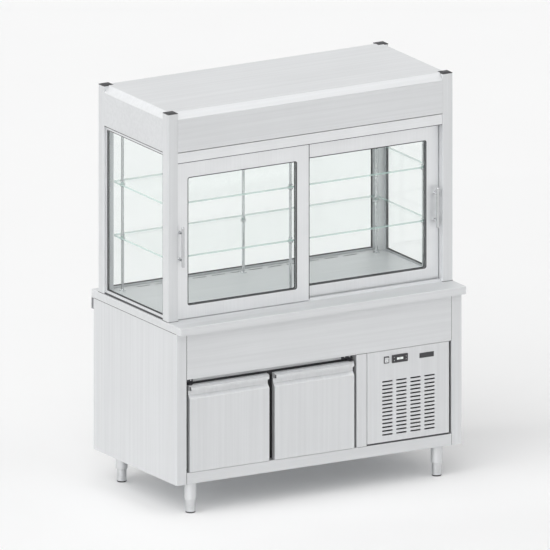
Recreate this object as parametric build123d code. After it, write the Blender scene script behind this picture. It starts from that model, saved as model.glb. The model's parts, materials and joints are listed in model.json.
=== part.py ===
from build123d import *

import math
import os

# Refrigerated display counter: a stainless cabinet on four feet with two hinged doors and a
# machine bay, and a glazed display case with two sliding doors on its worktop.
# Millimetres. X to the right, Y to the back, Z up; the origin is on the floor below the
# middle of the worktop. The operator's side, with the doors, is the front (-Y).

# Driving dimensions of the counter
SHEET = 1.5
BEND = 2.5
WORKTOP_WIDTH = 1400
WORKTOP_DEPTH = 760
WORKTOP_TOP = 838
WORKTOP_EDGE = 34
CABINET_HALF = 699
CABINET_FRONT = -342
CABINET_BACK = 362
CABINET_BOTTOM = 138
POST_WIDTH = 50
RETURN_BACK = -300
RAIL_TOP = 188
FASCIA_BOTTOM = 597

# Legs
LEG_X = 603.5
LEG_FRONT_Y = -294
LEG_REAR_Y = 289
SLEEVE_RADIUS = 25.4
FOOT_RADIUS = 21
FOOT_HEIGHT = 58
STEM_RADIUS = 15
STEM_LENGTH = 50
RUNNING_GAP = 0.05

# Cold box and its hinged doors
DIVIDER = (184, 234.5)
COLD_BOX_X = (-695, 230)
COLD_BOX_BACK = 350
SURROUND_BACK = -260
DOOR_FACE = -345.5
DOOR_WIDTH = 389.8
DOOR_LEFT_X = -635.7
DOOR_RIGHT_X = -219.2
DOOR_Z = (190, 570.5)
DOOR_SHEET = 1.2
HINGE_INSET = 10
HINGE_Y = -331.5
HINGE_PIN_RADIUS = 4
GASKET_INSET = 11
GASKET_WIDTH = 12
EVAPORATOR_FAN = (-232, 515)

# Machine bay and its louvred panel
LOUVRE_PANEL = 400
LOUVRE_X0 = 236
LOUVRE_Z0 = 196
SLOT_WIDTH = 50
SLOT_HEIGHT = 6.5
SLOT_COLUMNS = 4
SLOT_ROWS = 15
SLOT_PITCH_X = 68.8
SLOT_PITCH_Z = 16.64
SLOT_X0 = 309.8
SLOT_Z0 = 223.75
SWITCH = (330, 555)
CONTROLLER = (395, 555)
BUTTON_X = 29
BUTTON_Z = 6.5
GLAND = (620, 200)
COIL_X = (280, 600)
COIL_Z = (142, 422)
FAN_CENTRE = (440, 282)
FAN_RADIUS = 118

# Display case
CASE_HALF = 697
CASE_Y = (-268, 325)
CASE_POST = 48
POST_TOP = 1750
ROOF_EDGE = 1723.5
ROOF_TOP = 1753
ROOF_INSET = 24
FASCIA_Z = (1578, 1723.5)
HEADER_Z = (1531, 1575)
GLASS = 6
PANE_INSET = 10
SHELF_LEVELS = (1085, 1320)
SHELF_GLASS = 8
UPRIGHT_X = (-622, -30, 622)
UPRIGHT_Y = (-150, 250)

# Sliding doors
SLIDER_DEPTH = 20
SLIDER_Z = (843, 1560)
WINDOW_Z = (898.4, 1461.7)
WINDOW_RADIUS = 10
HANDLE_RADIUS = 6.35
HANDLE_LENGTH = 178
HANDLE_REACH = 28
HANDLE_CENTRE = 1166
STANDOFF_PITCH = 118

os.makedirs("parts", exist_ok=True)


def save(name, *shapes):
    """Write one node from its separate solids."""
    solids = [solid for shape in shapes for solid in shape.solids()]
    node = solids[0] if len(solids) == 1 else Compound(solids)
    node.label = name
    export_step(node, f"parts/{name}.step")


def block(x, y, z):
    """A box between two values on each axis."""
    size = [abs(b - a) for a, b in (x, y, z)]
    corner = [min(pair) for pair in (x, y, z)]
    return Pos(*corner) * Box(*size, align=(Align.MIN,) * 3)


def run_x(face, x):
    """Extrude an outline of (y, z) points along X."""
    return Pos(x[0], 0, 0) * extrude(Plane.YZ * face, x[1] - x[0], dir=(1, 0, 0))


def run_y(face, y):
    """Extrude an outline of (x, z) points along Y."""
    return Pos(0, y[0], 0) * extrude(Plane.XZ * face, y[1] - y[0], dir=(0, 1, 0))


def run_z(face, z):
    """Extrude an outline of (x, y) points along Z."""
    return Pos(0, 0, z[0]) * extrude(face, z[1] - z[0], dir=(0, 0, 1))


def outline(*points):
    """A closed outline with straight sides."""
    return make_face(Polyline(*points, close=True))


def folded(*points, left=True, gauge=SHEET, bend=BEND):
    """The section of a folded sheet, whose outer skin follows the points."""
    line = FilletPolyline(*points, radius=bend)
    return make_face(offset(line, gauge, side=Side.LEFT if left else Side.RIGHT))


def rounded_slab(x, z, y, radius):
    """A plate in the XZ plane with rounded corners."""
    width, height = x[1] - x[0], z[1] - z[0]
    face = Pos((x[0] + x[1]) / 2, (z[0] + z[1]) / 2) * RectangleRounded(width, height, radius)
    return run_y(face, y)


def rod(radius, start, end):
    """A straight round bar between two points."""
    line = Vector(*end) - Vector(*start)
    return extrude(Plane(origin=start, z_dir=line) * Circle(radius), line.length)


def wire(radius, start, end):
    """A thin straight wire with six sides."""
    line = Vector(*end) - Vector(*start)
    return extrude(Plane(origin=start, z_dir=line) * RegularPolygon(radius, 6), line.length)


def pipe(radius, bend, *points):
    """A bent tube through the points, as a solid of its outer form."""
    path = FilletPolyline(*points, radius=bend)
    start = Plane(origin=path @ 0, z_dir=path % 0)
    return sweep(start * Circle(radius), path)


def standing_cylinder(radius, height):
    """A cylinder with its foot at the origin."""
    return Cylinder(radius, height, align=(Align.CENTER, Align.CENTER, Align.MIN))


def turned(*points):
    """A solid turned about Z from an outline of (radius, height) points."""
    return revolve(Plane.XZ * outline(*points), Axis.Z)


def domed(wall, rise):
    """A turned solid whose wall of (radius, height) points ends in a domed top."""
    rim, base = wall[-1]
    ball = (rim**2 + rise**2) / (2 * rise)
    half_angle = math.asin(rim / ball) / 2
    middle = (ball * math.sin(half_angle), base + rise - ball * (1 - math.cos(half_angle)))
    top = (0, base + rise)
    edges = [Polyline(*wall), ThreePointArc(wall[-1], middle, top), Line(top, wall[0])]
    return revolve(Plane.XZ * make_face(edges), Axis.Z)


def on_y_axis(solid, x, y, z):
    """Stand a solid that was made along Z along Y instead, its foot at the given point."""
    return Pos(x, y, z) * Rot(-90, 0, 0) * solid


def fan(tip, hub, bore, depth, blades):
    """An axial fan about Z, with pitched blades lofted from root to tip."""
    wheel = standing_cylinder(hub, depth)
    wheel = chamfer(wheel.edges().group_by(Axis.Z)[-1], 3)
    for index in range(blades):
        sections = []
        for radius, chord, pitch in ((hub - 2, 0.9 * hub, 42), (tip, 0.62 * tip, 24)):
            place = Plane(origin=(radius, 0, depth / 2), x_dir=(0, 1, 0), z_dir=(1, 0, 0))
            sections.append(place * Rot(0, 0, pitch) * Rectangle(chord, 1.6))
        blade = loft(sections, ruled=True)
        wheel += Rot(0, 0, 360 * index / blades) * blade
    return wheel - Cylinder(bore, 4 * depth)


# Cabinet shell


def base_pan():
    """The bottom sheet, turned up at the front and the back."""
    section = folded(
        (RETURN_BACK, CABINET_BOTTOM + 17),
        (RETURN_BACK, CABINET_BOTTOM),
        (CABINET_BACK - SHEET, CABINET_BOTTOM),
        (CABINET_BACK - SHEET, CABINET_BOTTOM + 17),
    )
    half = CABINET_HALF - 4
    return run_x(section, (-half, half))


def bottom_rail():
    section = folded(
        (RETURN_BACK, RAIL_TOP),
        (CABINET_FRONT, RAIL_TOP),
        (CABINET_FRONT, CABINET_BOTTOM),
        (RETURN_BACK, CABINET_BOTTOM),
    )
    half = CABINET_HALF - POST_WIDTH
    return run_x(section, (-half, half))


def side_panel(side):
    """A side sheet, folded round the front into the corner post, -1 for the left one."""
    post = side * (CABINET_HALF - POST_WIDTH)
    wall = side * CABINET_HALF
    section = folded(
        (post, RETURN_BACK),
        (post, CABINET_FRONT),
        (wall, CABINET_FRONT),
        (wall, CABINET_BACK),
        (side * (CABINET_HALF - 24), CABINET_BACK),
        left=side > 0,
    )
    return run_z(section, (CABINET_BOTTOM, WORKTOP_TOP - WORKTOP_EDGE))


def rear_panel():
    """The back sheet, with rows of vents behind the machine bay and a hole for the gland."""
    half = CABINET_HALF - 25
    panel = block((-half, half), (CABINET_BACK - SHEET, CABINET_BACK), (157, 802))
    panel -= on_y_axis(Cylinder(10.1, 20), GLAND[0], CABINET_BACK, GLAND[1])
    for column in range(2):
        for row in range(9):
            x = 300 + 150 * column
            z = 240 + 20 * row
            panel -= block((x, x + 120), (CABINET_BACK - 5, CABINET_BACK + 5), (z, z + 7))
    return panel


def lower_fascia():
    section = folded(
        (RETURN_BACK, FASCIA_BOTTOM),
        (CABINET_FRONT, FASCIA_BOTTOM),
        (CABINET_FRONT, WORKTOP_TOP - WORKTOP_EDGE),
        (CABINET_FRONT + 20, WORKTOP_TOP - WORKTOP_EDGE),
        left=False,
    )
    half = CABINET_HALF - POST_WIDTH
    return run_x(section, (-half, half))


def divider_post():
    x0, x1 = DIVIDER
    section = folded(
        (x0, RETURN_BACK), (x0, CABINET_FRONT), (x1, CABINET_FRONT), (x1, RETURN_BACK)
    )
    return run_z(section, (RAIL_TOP, FASCIA_BOTTOM))


def worktop():
    """The folded top: returns below its edges and three stiffening channels inside."""
    half_x, half_y = WORKTOP_WIDTH / 2, WORKTOP_DEPTH / 2
    bottom = WORKTOP_TOP - WORKTOP_EDGE
    lip = 60
    top = block((-half_x, half_x), (-half_y, half_y), (bottom, WORKTOP_TOP))
    top = fillet(top.edges().filter_by(Axis.Z), 3)
    top = fillet(top.edges().group_by(Axis.Z)[-1], BEND)
    hollow_x, hollow_y = half_x - SHEET, half_y - SHEET
    inside = (bottom + SHEET, WORKTOP_TOP - SHEET)
    top -= block((-hollow_x, hollow_x), (-hollow_y, hollow_y), inside)
    mouth = half_x - lip, half_y - lip
    top -= block((-mouth[0], mouth[0]), (-mouth[1], mouth[1]), (bottom - 1, bottom + 5))
    for x in (-330, 0, 330):
        channel = folded(
            (x - 30, WORKTOP_TOP - 1),
            (x - 30, bottom + SHEET),
            (x + 30, bottom + SHEET),
            (x + 30, WORKTOP_TOP - 1),
        )
        top += run_y(channel, (-half_y + SHEET, half_y - SHEET))
    return top


def worktop_rail():
    """The hollow hanging rail below the back edge of the worktop."""
    y = (CABINET_BACK, WORKTOP_DEPTH / 2)
    z = (753, WORKTOP_TOP - WORKTOP_EDGE)
    half = WORKTOP_WIDTH / 2
    inner_y, inner_z = (y[0] + SHEET, y[1] - SHEET), (z[0] + SHEET, z[1] - SHEET)
    return block((-half, half), y, z) - block((-half - 1, half + 1), inner_y, inner_z)


# Legs


def leg_places():
    """Names and centres of the four legs."""
    places = {}
    for depth, y in (("front", LEG_FRONT_Y), ("rear", LEG_REAR_Y)):
        for side, x in (("left", -LEG_X), ("right", LEG_X)):
            places[f"foot_{depth}_{side}"] = (x, y)
    return places


def leg_sleeve():
    """A round sleeve with a flange below the base pan and a bore for the foot's stem."""
    bore = STEM_RADIUS + RUNNING_GAP
    flange = CABINET_BOTTOM - 3
    sleeve = turned(
        (bore, FOOT_HEIGHT),
        (SLEEVE_RADIUS - 2, FOOT_HEIGHT),
        (SLEEVE_RADIUS, FOOT_HEIGHT + 2),
        (SLEEVE_RADIUS, flange),
        (40, flange),
        (40, CABINET_BOTTOM),
        (bore, CABINET_BOTTOM),
    )
    return sleeve


def foot():
    """A levelling foot with an eased sole, its stem up inside the sleeve."""
    ease = 3
    stem_top = FOOT_HEIGHT + STEM_LENGTH
    return turned(
        (0, 0),
        (FOOT_RADIUS - ease, 0),
        (FOOT_RADIUS, ease),
        (FOOT_RADIUS, FOOT_HEIGHT),
        (STEM_RADIUS, FOOT_HEIGHT),
        (STEM_RADIUS, stem_top),
        (0, stem_top),
    )


# Cold box and hinged doors


def door_surround():
    """The frame that the gaskets close on: two jambs, a mullion, a head and a sill."""
    y = (RETURN_BACK, SURROUND_BACK)
    left, right = -CABINET_HALF + POST_WIDTH, DIVIDER[0]
    sill, head = (RAIL_TOP, 214), (546, FASCIA_BOTTOM)
    bars = []
    for x, inner in (((left, -612), 1), ((-270, -195), 0), ((147, right), -1)):
        bar = block(x, y, (sill[1], head[0]))
        front = bar.edges().filter_by(Axis.Z).group_by(Axis.Y)[0].sort_by(Axis.X)
        eased = {1: front[-1:], -1: front[:1], 0: front}[inner]
        bars.append(fillet(eased, 6))
    for z, inner in ((sill, -1), (head, 0)):
        bar = block((left, right), y, z)
        front = bar.edges().filter_by(Axis.X).group_by(Axis.Y)[0].sort_by(Axis.Z)
        bars.append(fillet(front[inner], 6))
    return bars


def insulated_box():
    """Five foamed walls: the floor is dished to a drain."""
    x, y = COLD_BOX_X, (SURROUND_BACK, COLD_BOX_BACK)
    wall = 57
    floor_top, roof_bottom = 195, FASCIA_BOTTOM
    upright = (floor_top, roof_bottom)
    floor = block(x, y, (CABINET_BOTTOM + 2, floor_top))
    dish = loft([Pos(-230, 20, floor_top) * Rectangle(560, 300),
                 Pos(-230, 20, floor_top - 6) * Rectangle(60, 60)], ruled=True)
    floor -= dish
    roof = block(x, y, (roof_bottom, roof_bottom + 60))
    left = block((x[0], x[0] + 55), y, upright)
    right = block((x[1] - 55, x[1]), y, upright)
    back = block((x[0] + 55, x[1] - 55), (y[1] - wall, y[1]), upright)
    return [floor, roof, left, right, back]


def door_section(skin=0.0):
    """The side outline of a hinged door, with its finger grip. A skin moves it inwards."""
    face, back = DOOR_FACE + skin, DOOR_FACE + 25
    recess, lip = HINGE_Y + skin, DOOR_FACE - 7 + skin
    bottom, top = DOOR_Z[0] + skin, DOOR_Z[1] - skin
    return outline(
        (face, bottom), (face, 510.7 - skin / 2), (recess, 526.3 - skin / 2),
        (recess, 547.4 + skin), (lip, 549.4 + skin), (lip, 561.5 - skin / 2),
        (lip + 14.5, top), (back, top), (back, bottom),
    )


def finger_lip_trim(x0, x1):
    """What is cut off the ends of the finger lip: 4 mm each, with rounded lower corners."""
    y = (DOOR_FACE - 8, DOOR_FACE - 0.01)
    whole = block((x0 - 1, x1 + 1), y, (540, 580))
    kept = rounded_slab((x0 + 4, x1 - 4), (549, 590), (y[0] - 1, y[1] + 1), 8)
    return whole - kept


def hinged_door(x0, hinge_x):
    """A folded skin with a finger grip, its foamed liner, and the magnetic gasket."""
    x1 = x0 + DOOR_WIDTH
    inner = (x0 + DOOR_SHEET, x1 - DOOR_SHEET)
    filling = run_x(door_section(DOOR_SHEET), inner)
    skin = run_x(door_section(), (x0, x1)) - filling - finger_lip_trim(x0, x1)
    filling -= finger_lip_trim(x0 + DOOR_SHEET, x1 - DOOR_SHEET)
    back = DOOR_FACE + 25
    plate = block((x0 + 6, x1 - 6), (back, back + 10), (DOOR_Z[0] + 6, DOOR_Z[1] - 6))
    plate = chamfer(plate.faces().sort_by(Axis.Y)[-1].edges(), 4)
    liner = filling + plate
    bore, skin_hole = HINGE_PIN_RADIUS + RUNNING_GAP, HINGE_PIN_RADIUS + 2
    for low, high in ((DOOR_Z[0] - 5, DOOR_Z[0] + 15), (DOOR_Z[1] - 13, DOOR_Z[1] + 5)):
        place = Pos(hinge_x, HINGE_Y, low)
        liner -= place * standing_cylinder(bore, high - low)
        skin -= place * standing_cylinder(skin_hole, high - low)
    ring = [(x0 + GASKET_INSET, x1 - GASKET_INSET), (DOOR_Z[0] + 11, DOOR_Z[1] - 11)]
    hole = [(a + GASKET_WIDTH, b - GASKET_WIDTH) for a, b in ring]
    y = (back + 10, RETURN_BACK - 0.3)
    gasket = rounded_slab(ring[0], ring[1], y, 6) - rounded_slab(hole[0], hole[1], y, 3)
    return skin, liner, gasket


def hinge_brackets(hinges):
    """Above and below each door: a bracket on the frame with a pin into the door."""
    brackets = []
    for hinge_x, side in hinges:
        post = hinge_x - side * (HINGE_INSET + 13.3)
        plate_x = sorted((post, post + side * 50))
        arm_x = (hinge_x - 9, hinge_x + 9)
        flange = block(plate_x, (RETURN_BACK - 7, RETURN_BACK), (574.3, 594))
        arm = block(arm_x, (HINGE_Y - 9, RETURN_BACK), (571.3, 574.3))
        arm = fillet(arm.edges().filter_by(Axis.Z).group_by(Axis.Y)[0], 8)
        pin = rod(HINGE_PIN_RADIUS, (hinge_x, HINGE_Y, 559), (hinge_x, HINGE_Y, 572))
        brackets.append(flange + arm + pin)
        sole = block(arm_x, (HINGE_Y - 9, RETURN_BACK), (RAIL_TOP, RAIL_TOP + 1.4))
        sole = fillet(sole.edges().filter_by(Axis.Z).group_by(Axis.Y)[0], 8)
        pin = rod(HINGE_PIN_RADIUS, (hinge_x, HINGE_Y, RAIL_TOP + 1), (hinge_x, HINGE_Y, 203))
        brackets.append(sole + pin)
    return brackets


def wire_shelves():
    """Two wire shelves with their wall angles and the hanging rail between them."""
    y, wire_top = (-245, 170), 391
    pieces = []
    for x0, x1 in ((-634, -244), (-220, 170)):
        corners = [(x0, y[0]), (x1, y[0]), (x1, y[1]), (x0, y[1])]
        sides = []
        for (ax, ay), (bx, by) in zip(corners, corners[1:] + corners[:1]):
            sides.append(wire(3, (ax, ay, wire_top), (bx, by, wire_top)))
        for index in range(1, 13):
            x = x0 + (x1 - x0) * index / 13
            sides.append(wire(1.75, (x, y[0] - 2, wire_top + 3), (x, y[1] + 2, wire_top + 3)))
        pieces.append(sides[0].fuse(*sides[1:]))
    ledge = (wire_top - 5, wire_top - 3)
    for wall, side in ((COLD_BOX_X[0] + 55, 1), (COLD_BOX_X[1] - 55, -1)):
        angle = block((wall, wall + side * 20), y, ledge)
        pieces.append(angle + block((wall, wall + side * 2), y, (wire_top - 25, ledge[1])))
    hanger = block((-250, -214), y, ledge)
    for post_y in (-200, 130):
        hanger += block((-236, -228), (post_y - 4, post_y + 4), (195, FASCIA_BOTTOM))
    pieces.append(hanger)
    return pieces


def cold_box_evaporator():
    """A vented housing with a fan opening, and the finned coil with its motor inside."""
    x, y, z = (-332, -132), (185, 293), (430, 597)
    fan_x, fan_z = EVAPORATOR_FAN
    shell = block(x, y, z) - block((x[0] + 2, x[1] - 2), (y[0] + 2, y[1] + 5), (z[0] + 2, z[1] + 5))
    shell -= on_y_axis(Cylinder(62, 20), fan_x, y[0], fan_z)
    for slot in range(6):
        slot_x = x[0] + 20 + 29 * slot
        shell -= block((slot_x, slot_x + 14), (y[0] + 20, y[1] - 15), (z[0] - 1, z[0] + 5))
    coil = block((x[0] + 12, x[1] - 12), (y[0] + 62, y[1]), (z[0] + 14, z[1] - 12))
    motor = on_y_axis(standing_cylinder(24, 24), fan_x, y[0] + 38, fan_z)
    motor += rod(2.5, (fan_x, y[0] + 6, fan_z), (fan_x, y[0] + 40, fan_z))
    return [shell, coil, motor]


# Machine bay


def louvre_panel():
    """A tray panel with lanced louvres, each slot under its bent blade."""
    x = (LOUVRE_X0, LOUVRE_X0 + LOUVRE_PANEL)
    z = (LOUVRE_Z0, LOUVRE_Z0 + LOUVRE_PANEL)
    y = (CABINET_FRONT, CABINET_FRONT + 14)
    front, back = y[0], y[0] + SHEET
    panel = block(x, y, z)
    panel -= block((x[0] + SHEET, x[1] - SHEET), (back, y[1] + 1), (z[0] + SHEET, z[1] - SHEET))
    for column in range(SLOT_COLUMNS):
        for row in range(SLOT_ROWS):
            left = SLOT_X0 + SLOT_PITCH_X * column
            low = SLOT_Z0 + SLOT_PITCH_Z * row
            high = low + SLOT_HEIGHT
            slot = (left, left + SLOT_WIDTH)
            panel -= block(slot, (front - 1, back + 1), (low, high))
            blade = outline(
                (front + 0.4, high),
                (back + 6.5, low - 1.2),
                (back + 7.5, low - 0.4),
                (back, high + 0.9),
            )
            panel += run_x(blade, slot)
    switch_x, switch_z = SWITCH
    control_x, control_z = CONTROLLER
    for cx, cz, width, height in ((switch_x, switch_z, 22, 27), (control_x, control_z, 71, 29)):
        cut_x, cut_z = (cx - width / 2, cx + width / 2), (cz - height / 2, cz + height / 2)
        panel -= block(cut_x, (front - 1, back + 1), cut_z)
    return panel


def switch_housing():
    """The frame of the rocker switch, with the pocket that the rocker turns in."""
    x, z = SWITCH
    face = CABINET_FRONT
    bezel = rounded_slab((x - 12.5, x + 12.5), (z - 15, z + 15), (face - 2.5, face), 2)
    bezel = chamfer(bezel.faces().sort_by(Axis.Y)[0].edges(), 0.8)
    bezel += block((x - 10.8, x + 10.8), (face, face + 24), (z - 13.3, z + 13.3))
    return bezel - block((x - 9.3, x + 9.3), (face - 3, face + 12), (z - 12, z + 12))


def rocker_switch():
    """The rocker: a round body with two pressing faces that meet in a shallow vee."""
    x, z = SWITCH
    face = outline((-4, -10.8), (6, -9.8), (3, 0), (6, 9.8), (-4, 10.8))
    face &= Circle(11.6)
    body = run_x(Rot(0, 0, 180) * face, (-9, 9))
    return Pos(x, CABINET_FRONT + 1, z) * Rot(12, 0, 0) * body


def controller_housing():
    """The temperature controller: a bezel with a sunk window and four button pockets."""
    x, z = CONTROLLER
    front = CABINET_FRONT - 4
    bezel = rounded_slab((x - 38.5, x + 38.5), (z - 17.5, z + 17.5), (front, CABINET_FRONT), 3)
    bezel = chamfer(bezel.faces().sort_by(Axis.Y)[0].edges(), 1)
    bezel += block((x - 35, x + 35), (CABINET_FRONT, CABINET_FRONT + 57), (z - 14.3, z + 14.3))
    bezel -= rounded_slab((x - 20, x + 20), (z - 7, z + 7), (front - 1, front + 1.2), 1.5)
    for button_x, button_z in button_places().values():
        pocket = (button_x - 4.2, button_x + 4.2), (button_z - 4.2, button_z + 4.2)
        bezel -= rounded_slab(pocket[0], pocket[1], (front - 1, front + 3.2), 1.2)
    return bezel


def button_places():
    """Names and centres of the controller's buttons."""
    x, z = CONTROLLER
    return {
        "button_set": (x - BUTTON_X, z - BUTTON_Z),
        "button_defrost": (x - BUTTON_X, z + BUTTON_Z),
        "button_up": (x + BUTTON_X, z + BUTTON_Z),
        "button_down": (x + BUTTON_X, z - BUTTON_Z),
    }


def button(x, z):
    """A small cap with an eased front edge."""
    front = CABINET_FRONT - 5
    cap = rounded_slab((x - 4, x + 4), (z - 4, z + 4), (front, front + 3.1), 1)
    return chamfer(cap.faces().sort_by(Axis.Y)[0].edges(), 0.6)


def blank_plate():
    """A small dark plate with nothing on it."""
    x, z = (492, 562), (541, 563)
    plate = rounded_slab(x, z, (CABINET_FRONT - 1.5, CABINET_FRONT), 1.5)
    return chamfer(plate.faces().sort_by(Axis.Y)[0].edges(), 0.5)


def condensing_tray():
    section = folded((-290, 154), (-290, 140), (300, 140), (300, 154))
    tray = run_x(section, (262, 632))
    for x in (262, 632 - SHEET):
        tray += block((x, x + SHEET), (-290 + BEND, 300 - BEND), (140, 154))
    return tray


def compressor():
    """A welded can with a domed lid and a seam, on a plate with four rubber mounts."""
    x, y, foot_z, plate_z = 470, 120, 141.5, 152
    wall = [(0, 156), (74, 156), (82, 168), (82, 238), (86, 238), (86, 244), (82, 244), (82, 296)]
    can = domed(wall, 50)
    can += block((-96, 96), (-72, 72), (plate_z, plate_z + 5))
    for foot_x in (-80, 80):
        for foot_y in (-58, 58):
            can += Pos(foot_x, foot_y, (foot_z + plate_z) / 2) * Cylinder(11, plate_z - foot_z)
    can += block((-30, 30), (-100, -70), (200, 262))
    return Pos(x, y, 0) * can


def condenser_coil():
    """Finned block between two tube plates, with return bends at the left end."""
    y = (-285, -225)
    coil = block((COIL_X[0] + 2, COIL_X[1] - 2), y, (COIL_Z[0] + 8, COIL_Z[1] - 8))
    for x in (COIL_X[0], COIL_X[1] - 2):
        coil += block((x, x + 2), y, COIL_Z)
    for bend in range(5):
        z = COIL_Z[0] + 28 + 52 * bend
        path = Polyline((COIL_X[0] + 1, -255, z), (COIL_X[0] - 12, -255, z + 4),
                        (COIL_X[0] - 12, -255, z + 22), (COIL_X[0] + 1, -255, z + 26))
        start = Plane(origin=path @ 0, z_dir=path % 0)
        coil += sweep(start * RegularPolygon(4.5, 8), path, transition=Transition.RIGHT)
    return coil


def fan_shroud():
    """A plate with a bell mouth round the fan, and the motor on three arms behind."""
    x, z = FAN_CENTRE
    front, motor_front = -224.5, -178
    plate = block(COIL_X, (front, front + 2), COIL_Z)
    plate -= on_y_axis(Cylinder(128, 40), x, front + 1, z)
    mouth = turned((127, 0), (135, 2), (129, 12), (129, 36), (127, 36))
    plate += on_y_axis(mouth, x, front, z)
    motor = standing_cylinder(36, 62)
    plate += on_y_axis(chamfer(motor.edges(), 4), x, motor_front, z)
    for angle in (90, 210, 330):
        arm = block((30, 129), (motor_front, motor_front + 3), (-7, 7))
        arm += block((126, 129), (motor_front - 14, motor_front + 3), (-7, 7))
        plate += Pos(x, 0, z) * Rot(0, angle, 0) * arm
    return plate + rod(3, (x, -214, z), (x, motor_front + 2, z))


def cable_gland():
    """The gland for the mains cord in the rear panel: a nut on each side and a clamping cap."""
    x, z = GLAND
    bore, thread, nut = 4.5, 10, 14
    body = turned((bore, -12), (thread, -12), (thread, 10), (8, 15), (bore, 15))
    ring = RegularPolygon(nut, 6) - Circle(thread - 1)
    body += extrude(ring, 6)
    body += Pos(0, 0, -SHEET - 5) * extrude(ring, 5)
    return on_y_axis(body, x, CABINET_BACK, z)


def copper_pipes():
    """The gas line, the liquid line with its filter drier, and the suction line."""
    wall = COLD_BOX_X[1] + 0.3
    coil_end, riser, back = COIL_X[1] + 0.3, COIL_X[1] + 18, 272
    low, high = 175, 380
    can = (553, 120, 270)
    gas = pipe(4, 12, can, (riser, 120, 270), (riser, 120, high), (riser, -255, high), (coil_end, -255, high))
    liquid = pipe(4, 12, (coil_end, -255, low), (riser, -255, low), (riser, back, low), (424, back, low))
    drier = rod(9.5, (425, back, low), (345, back, low))
    drier = chamfer(drier.edges().filter_by(GeomType.CIRCLE), 4)
    feed = pipe(3, 12, (346, back, low), (300, back, low), (300, back, 520), (wall, back, 520))
    suction = pipe(6, 30, (470, 120, 346.5), (470, 120, 560), (wall, 120, 560))
    return [gas, liquid + drier + feed, suction]


# Display case


def case_post():
    """A square tube with small outer radii."""
    section = RectangleRounded(CASE_POST, CASE_POST, 2) - Rectangle(CASE_POST - 4, CASE_POST - 4)
    return run_z(section, (WORKTOP_TOP, POST_TOP))


def post_cap():
    """A low plug with a raised middle, its spigot down inside the post."""
    rim = Pos(0, 0, POST_TOP) * extrude(RectangleRounded(CASE_POST, CASE_POST, 2), 2.5)
    crown = Pos(0, 0, POST_TOP + 2) * extrude(Rectangle(34, 34), 3)
    crown = chamfer(crown.edges().group_by(Axis.Z)[-1], 2.4)
    spigot = Pos(0, 0, POST_TOP - 14) * extrude(Rectangle(43.4, 43.4), 14)
    return rim + crown + spigot


def post_places():
    """Centres of the four posts."""
    half = CASE_POST / 2
    rows = (CASE_Y[0] + half, CASE_Y[1] - half)
    return [(x, y) for x in (-CASE_HALF + half, CASE_HALF - half) for y in rows]


def roof_panel():
    """A shallow hipped tray upside down, notched round the posts."""
    centre = sum(CASE_Y) / 2

    def hip(shrink, high):
        width, depth = 2 * CASE_HALF - shrink, CASE_Y[1] - CASE_Y[0] - shrink
        base = Pos(0, centre, ROOF_EDGE) * Rectangle(width, depth)
        crest = Pos(0, centre, high) * Rectangle(width - 2 * ROOF_INSET, depth - 2 * ROOF_INSET)
        return loft([base, crest], ruled=True)

    roof = hip(0, ROOF_TOP) - hip(2 * SHEET + 1, ROOF_TOP - SHEET)
    notch = CASE_POST / 2 + 0.5
    for x, y in post_places():
        roof -= block((x - notch, x + notch), (y - notch, y + notch), (ROOF_EDGE - 1, ROOF_TOP + 1))
    return roof


def upper_fascias():
    """Folded strips between the posts, closed by returns above and below."""
    z0, z1 = FASCIA_Z
    reach = 18
    strips = []
    half = CASE_HALF - CASE_POST
    for y, side in ((CASE_Y[0], 1), (CASE_Y[1], -1)):
        back = y + side * reach
        section = folded((back, z0), (y, z0), (y, z1), (back, z1), left=side < 0)
        strips.append(run_x(section, (-half, half)))
    ends = (CASE_Y[0] + CASE_POST, CASE_Y[1] - CASE_POST)
    for x, side in ((-CASE_HALF, 1), (CASE_HALF, -1)):
        back = x + side * reach
        section = folded((back, z0), (x, z0), (x, z1), (back, z1), left=side < 0)
        strips.append(run_y(section, ends))
    return strips


def slider_places():
    """For each sliding door: its X span, its front plane, its window's X span, its handle's X."""
    return {
        "sliding_door_left": ((-647, 0), -258, (-596, -59.5), -635),
        "sliding_door_right": ((-47, 647), -235, (4, 588), 628),
    }


def door_tracks():
    """The twin-channel header behind its front strip, and the low twin rib below."""
    half = CASE_HALF - CASE_POST - 0.5
    x = (-half, half)
    z0, z1 = HEADER_Z
    header = block(x, (-265, -210), (z1 - 4, z1))
    for y0, y1 in ((-265, -262.5), (-237.1, -235.9), (-212.5, -210)):
        header += block(x, (y0, y1), (z0, z1))
    header = header.clean()
    sill = block(x, (-262, -211), (WORKTOP_TOP, WORKTOP_TOP + 2))
    for plane in (-258, -235):
        middle = plane + SLIDER_DEPTH / 2
        sill += block(x, (middle - 1, middle + 1), (WORKTOP_TOP, WORKTOP_TOP + 11))
    return [header, sill]


def display_deck():
    """The raised floor of the case, with air slots along its back."""
    y = (-208, 300)
    half = CASE_HALF - 29
    top, under = WORKTOP_TOP + 12, WORKTOP_TOP - 1
    deck = block((-half, half), y, (WORKTOP_TOP, top))
    deck = fillet(deck.edges().group_by(Axis.Z)[-1], 1.5)
    deck -= block((-half + SHEET, half - SHEET), (y[0] + SHEET, y[1] - SHEET), (under, top - SHEET))
    notch = CASE_POST / 2 + 2
    for x, post_y in post_places():
        if post_y > 0:
            deck -= block((x - notch, x + notch), (post_y - notch, post_y + notch), (under, top + 1))
    for slot in range(12):
        left = -540 + 92 * slot
        deck -= block((left, left + 68), (270, 278), (top - 3, top + 1))
    return deck


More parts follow.
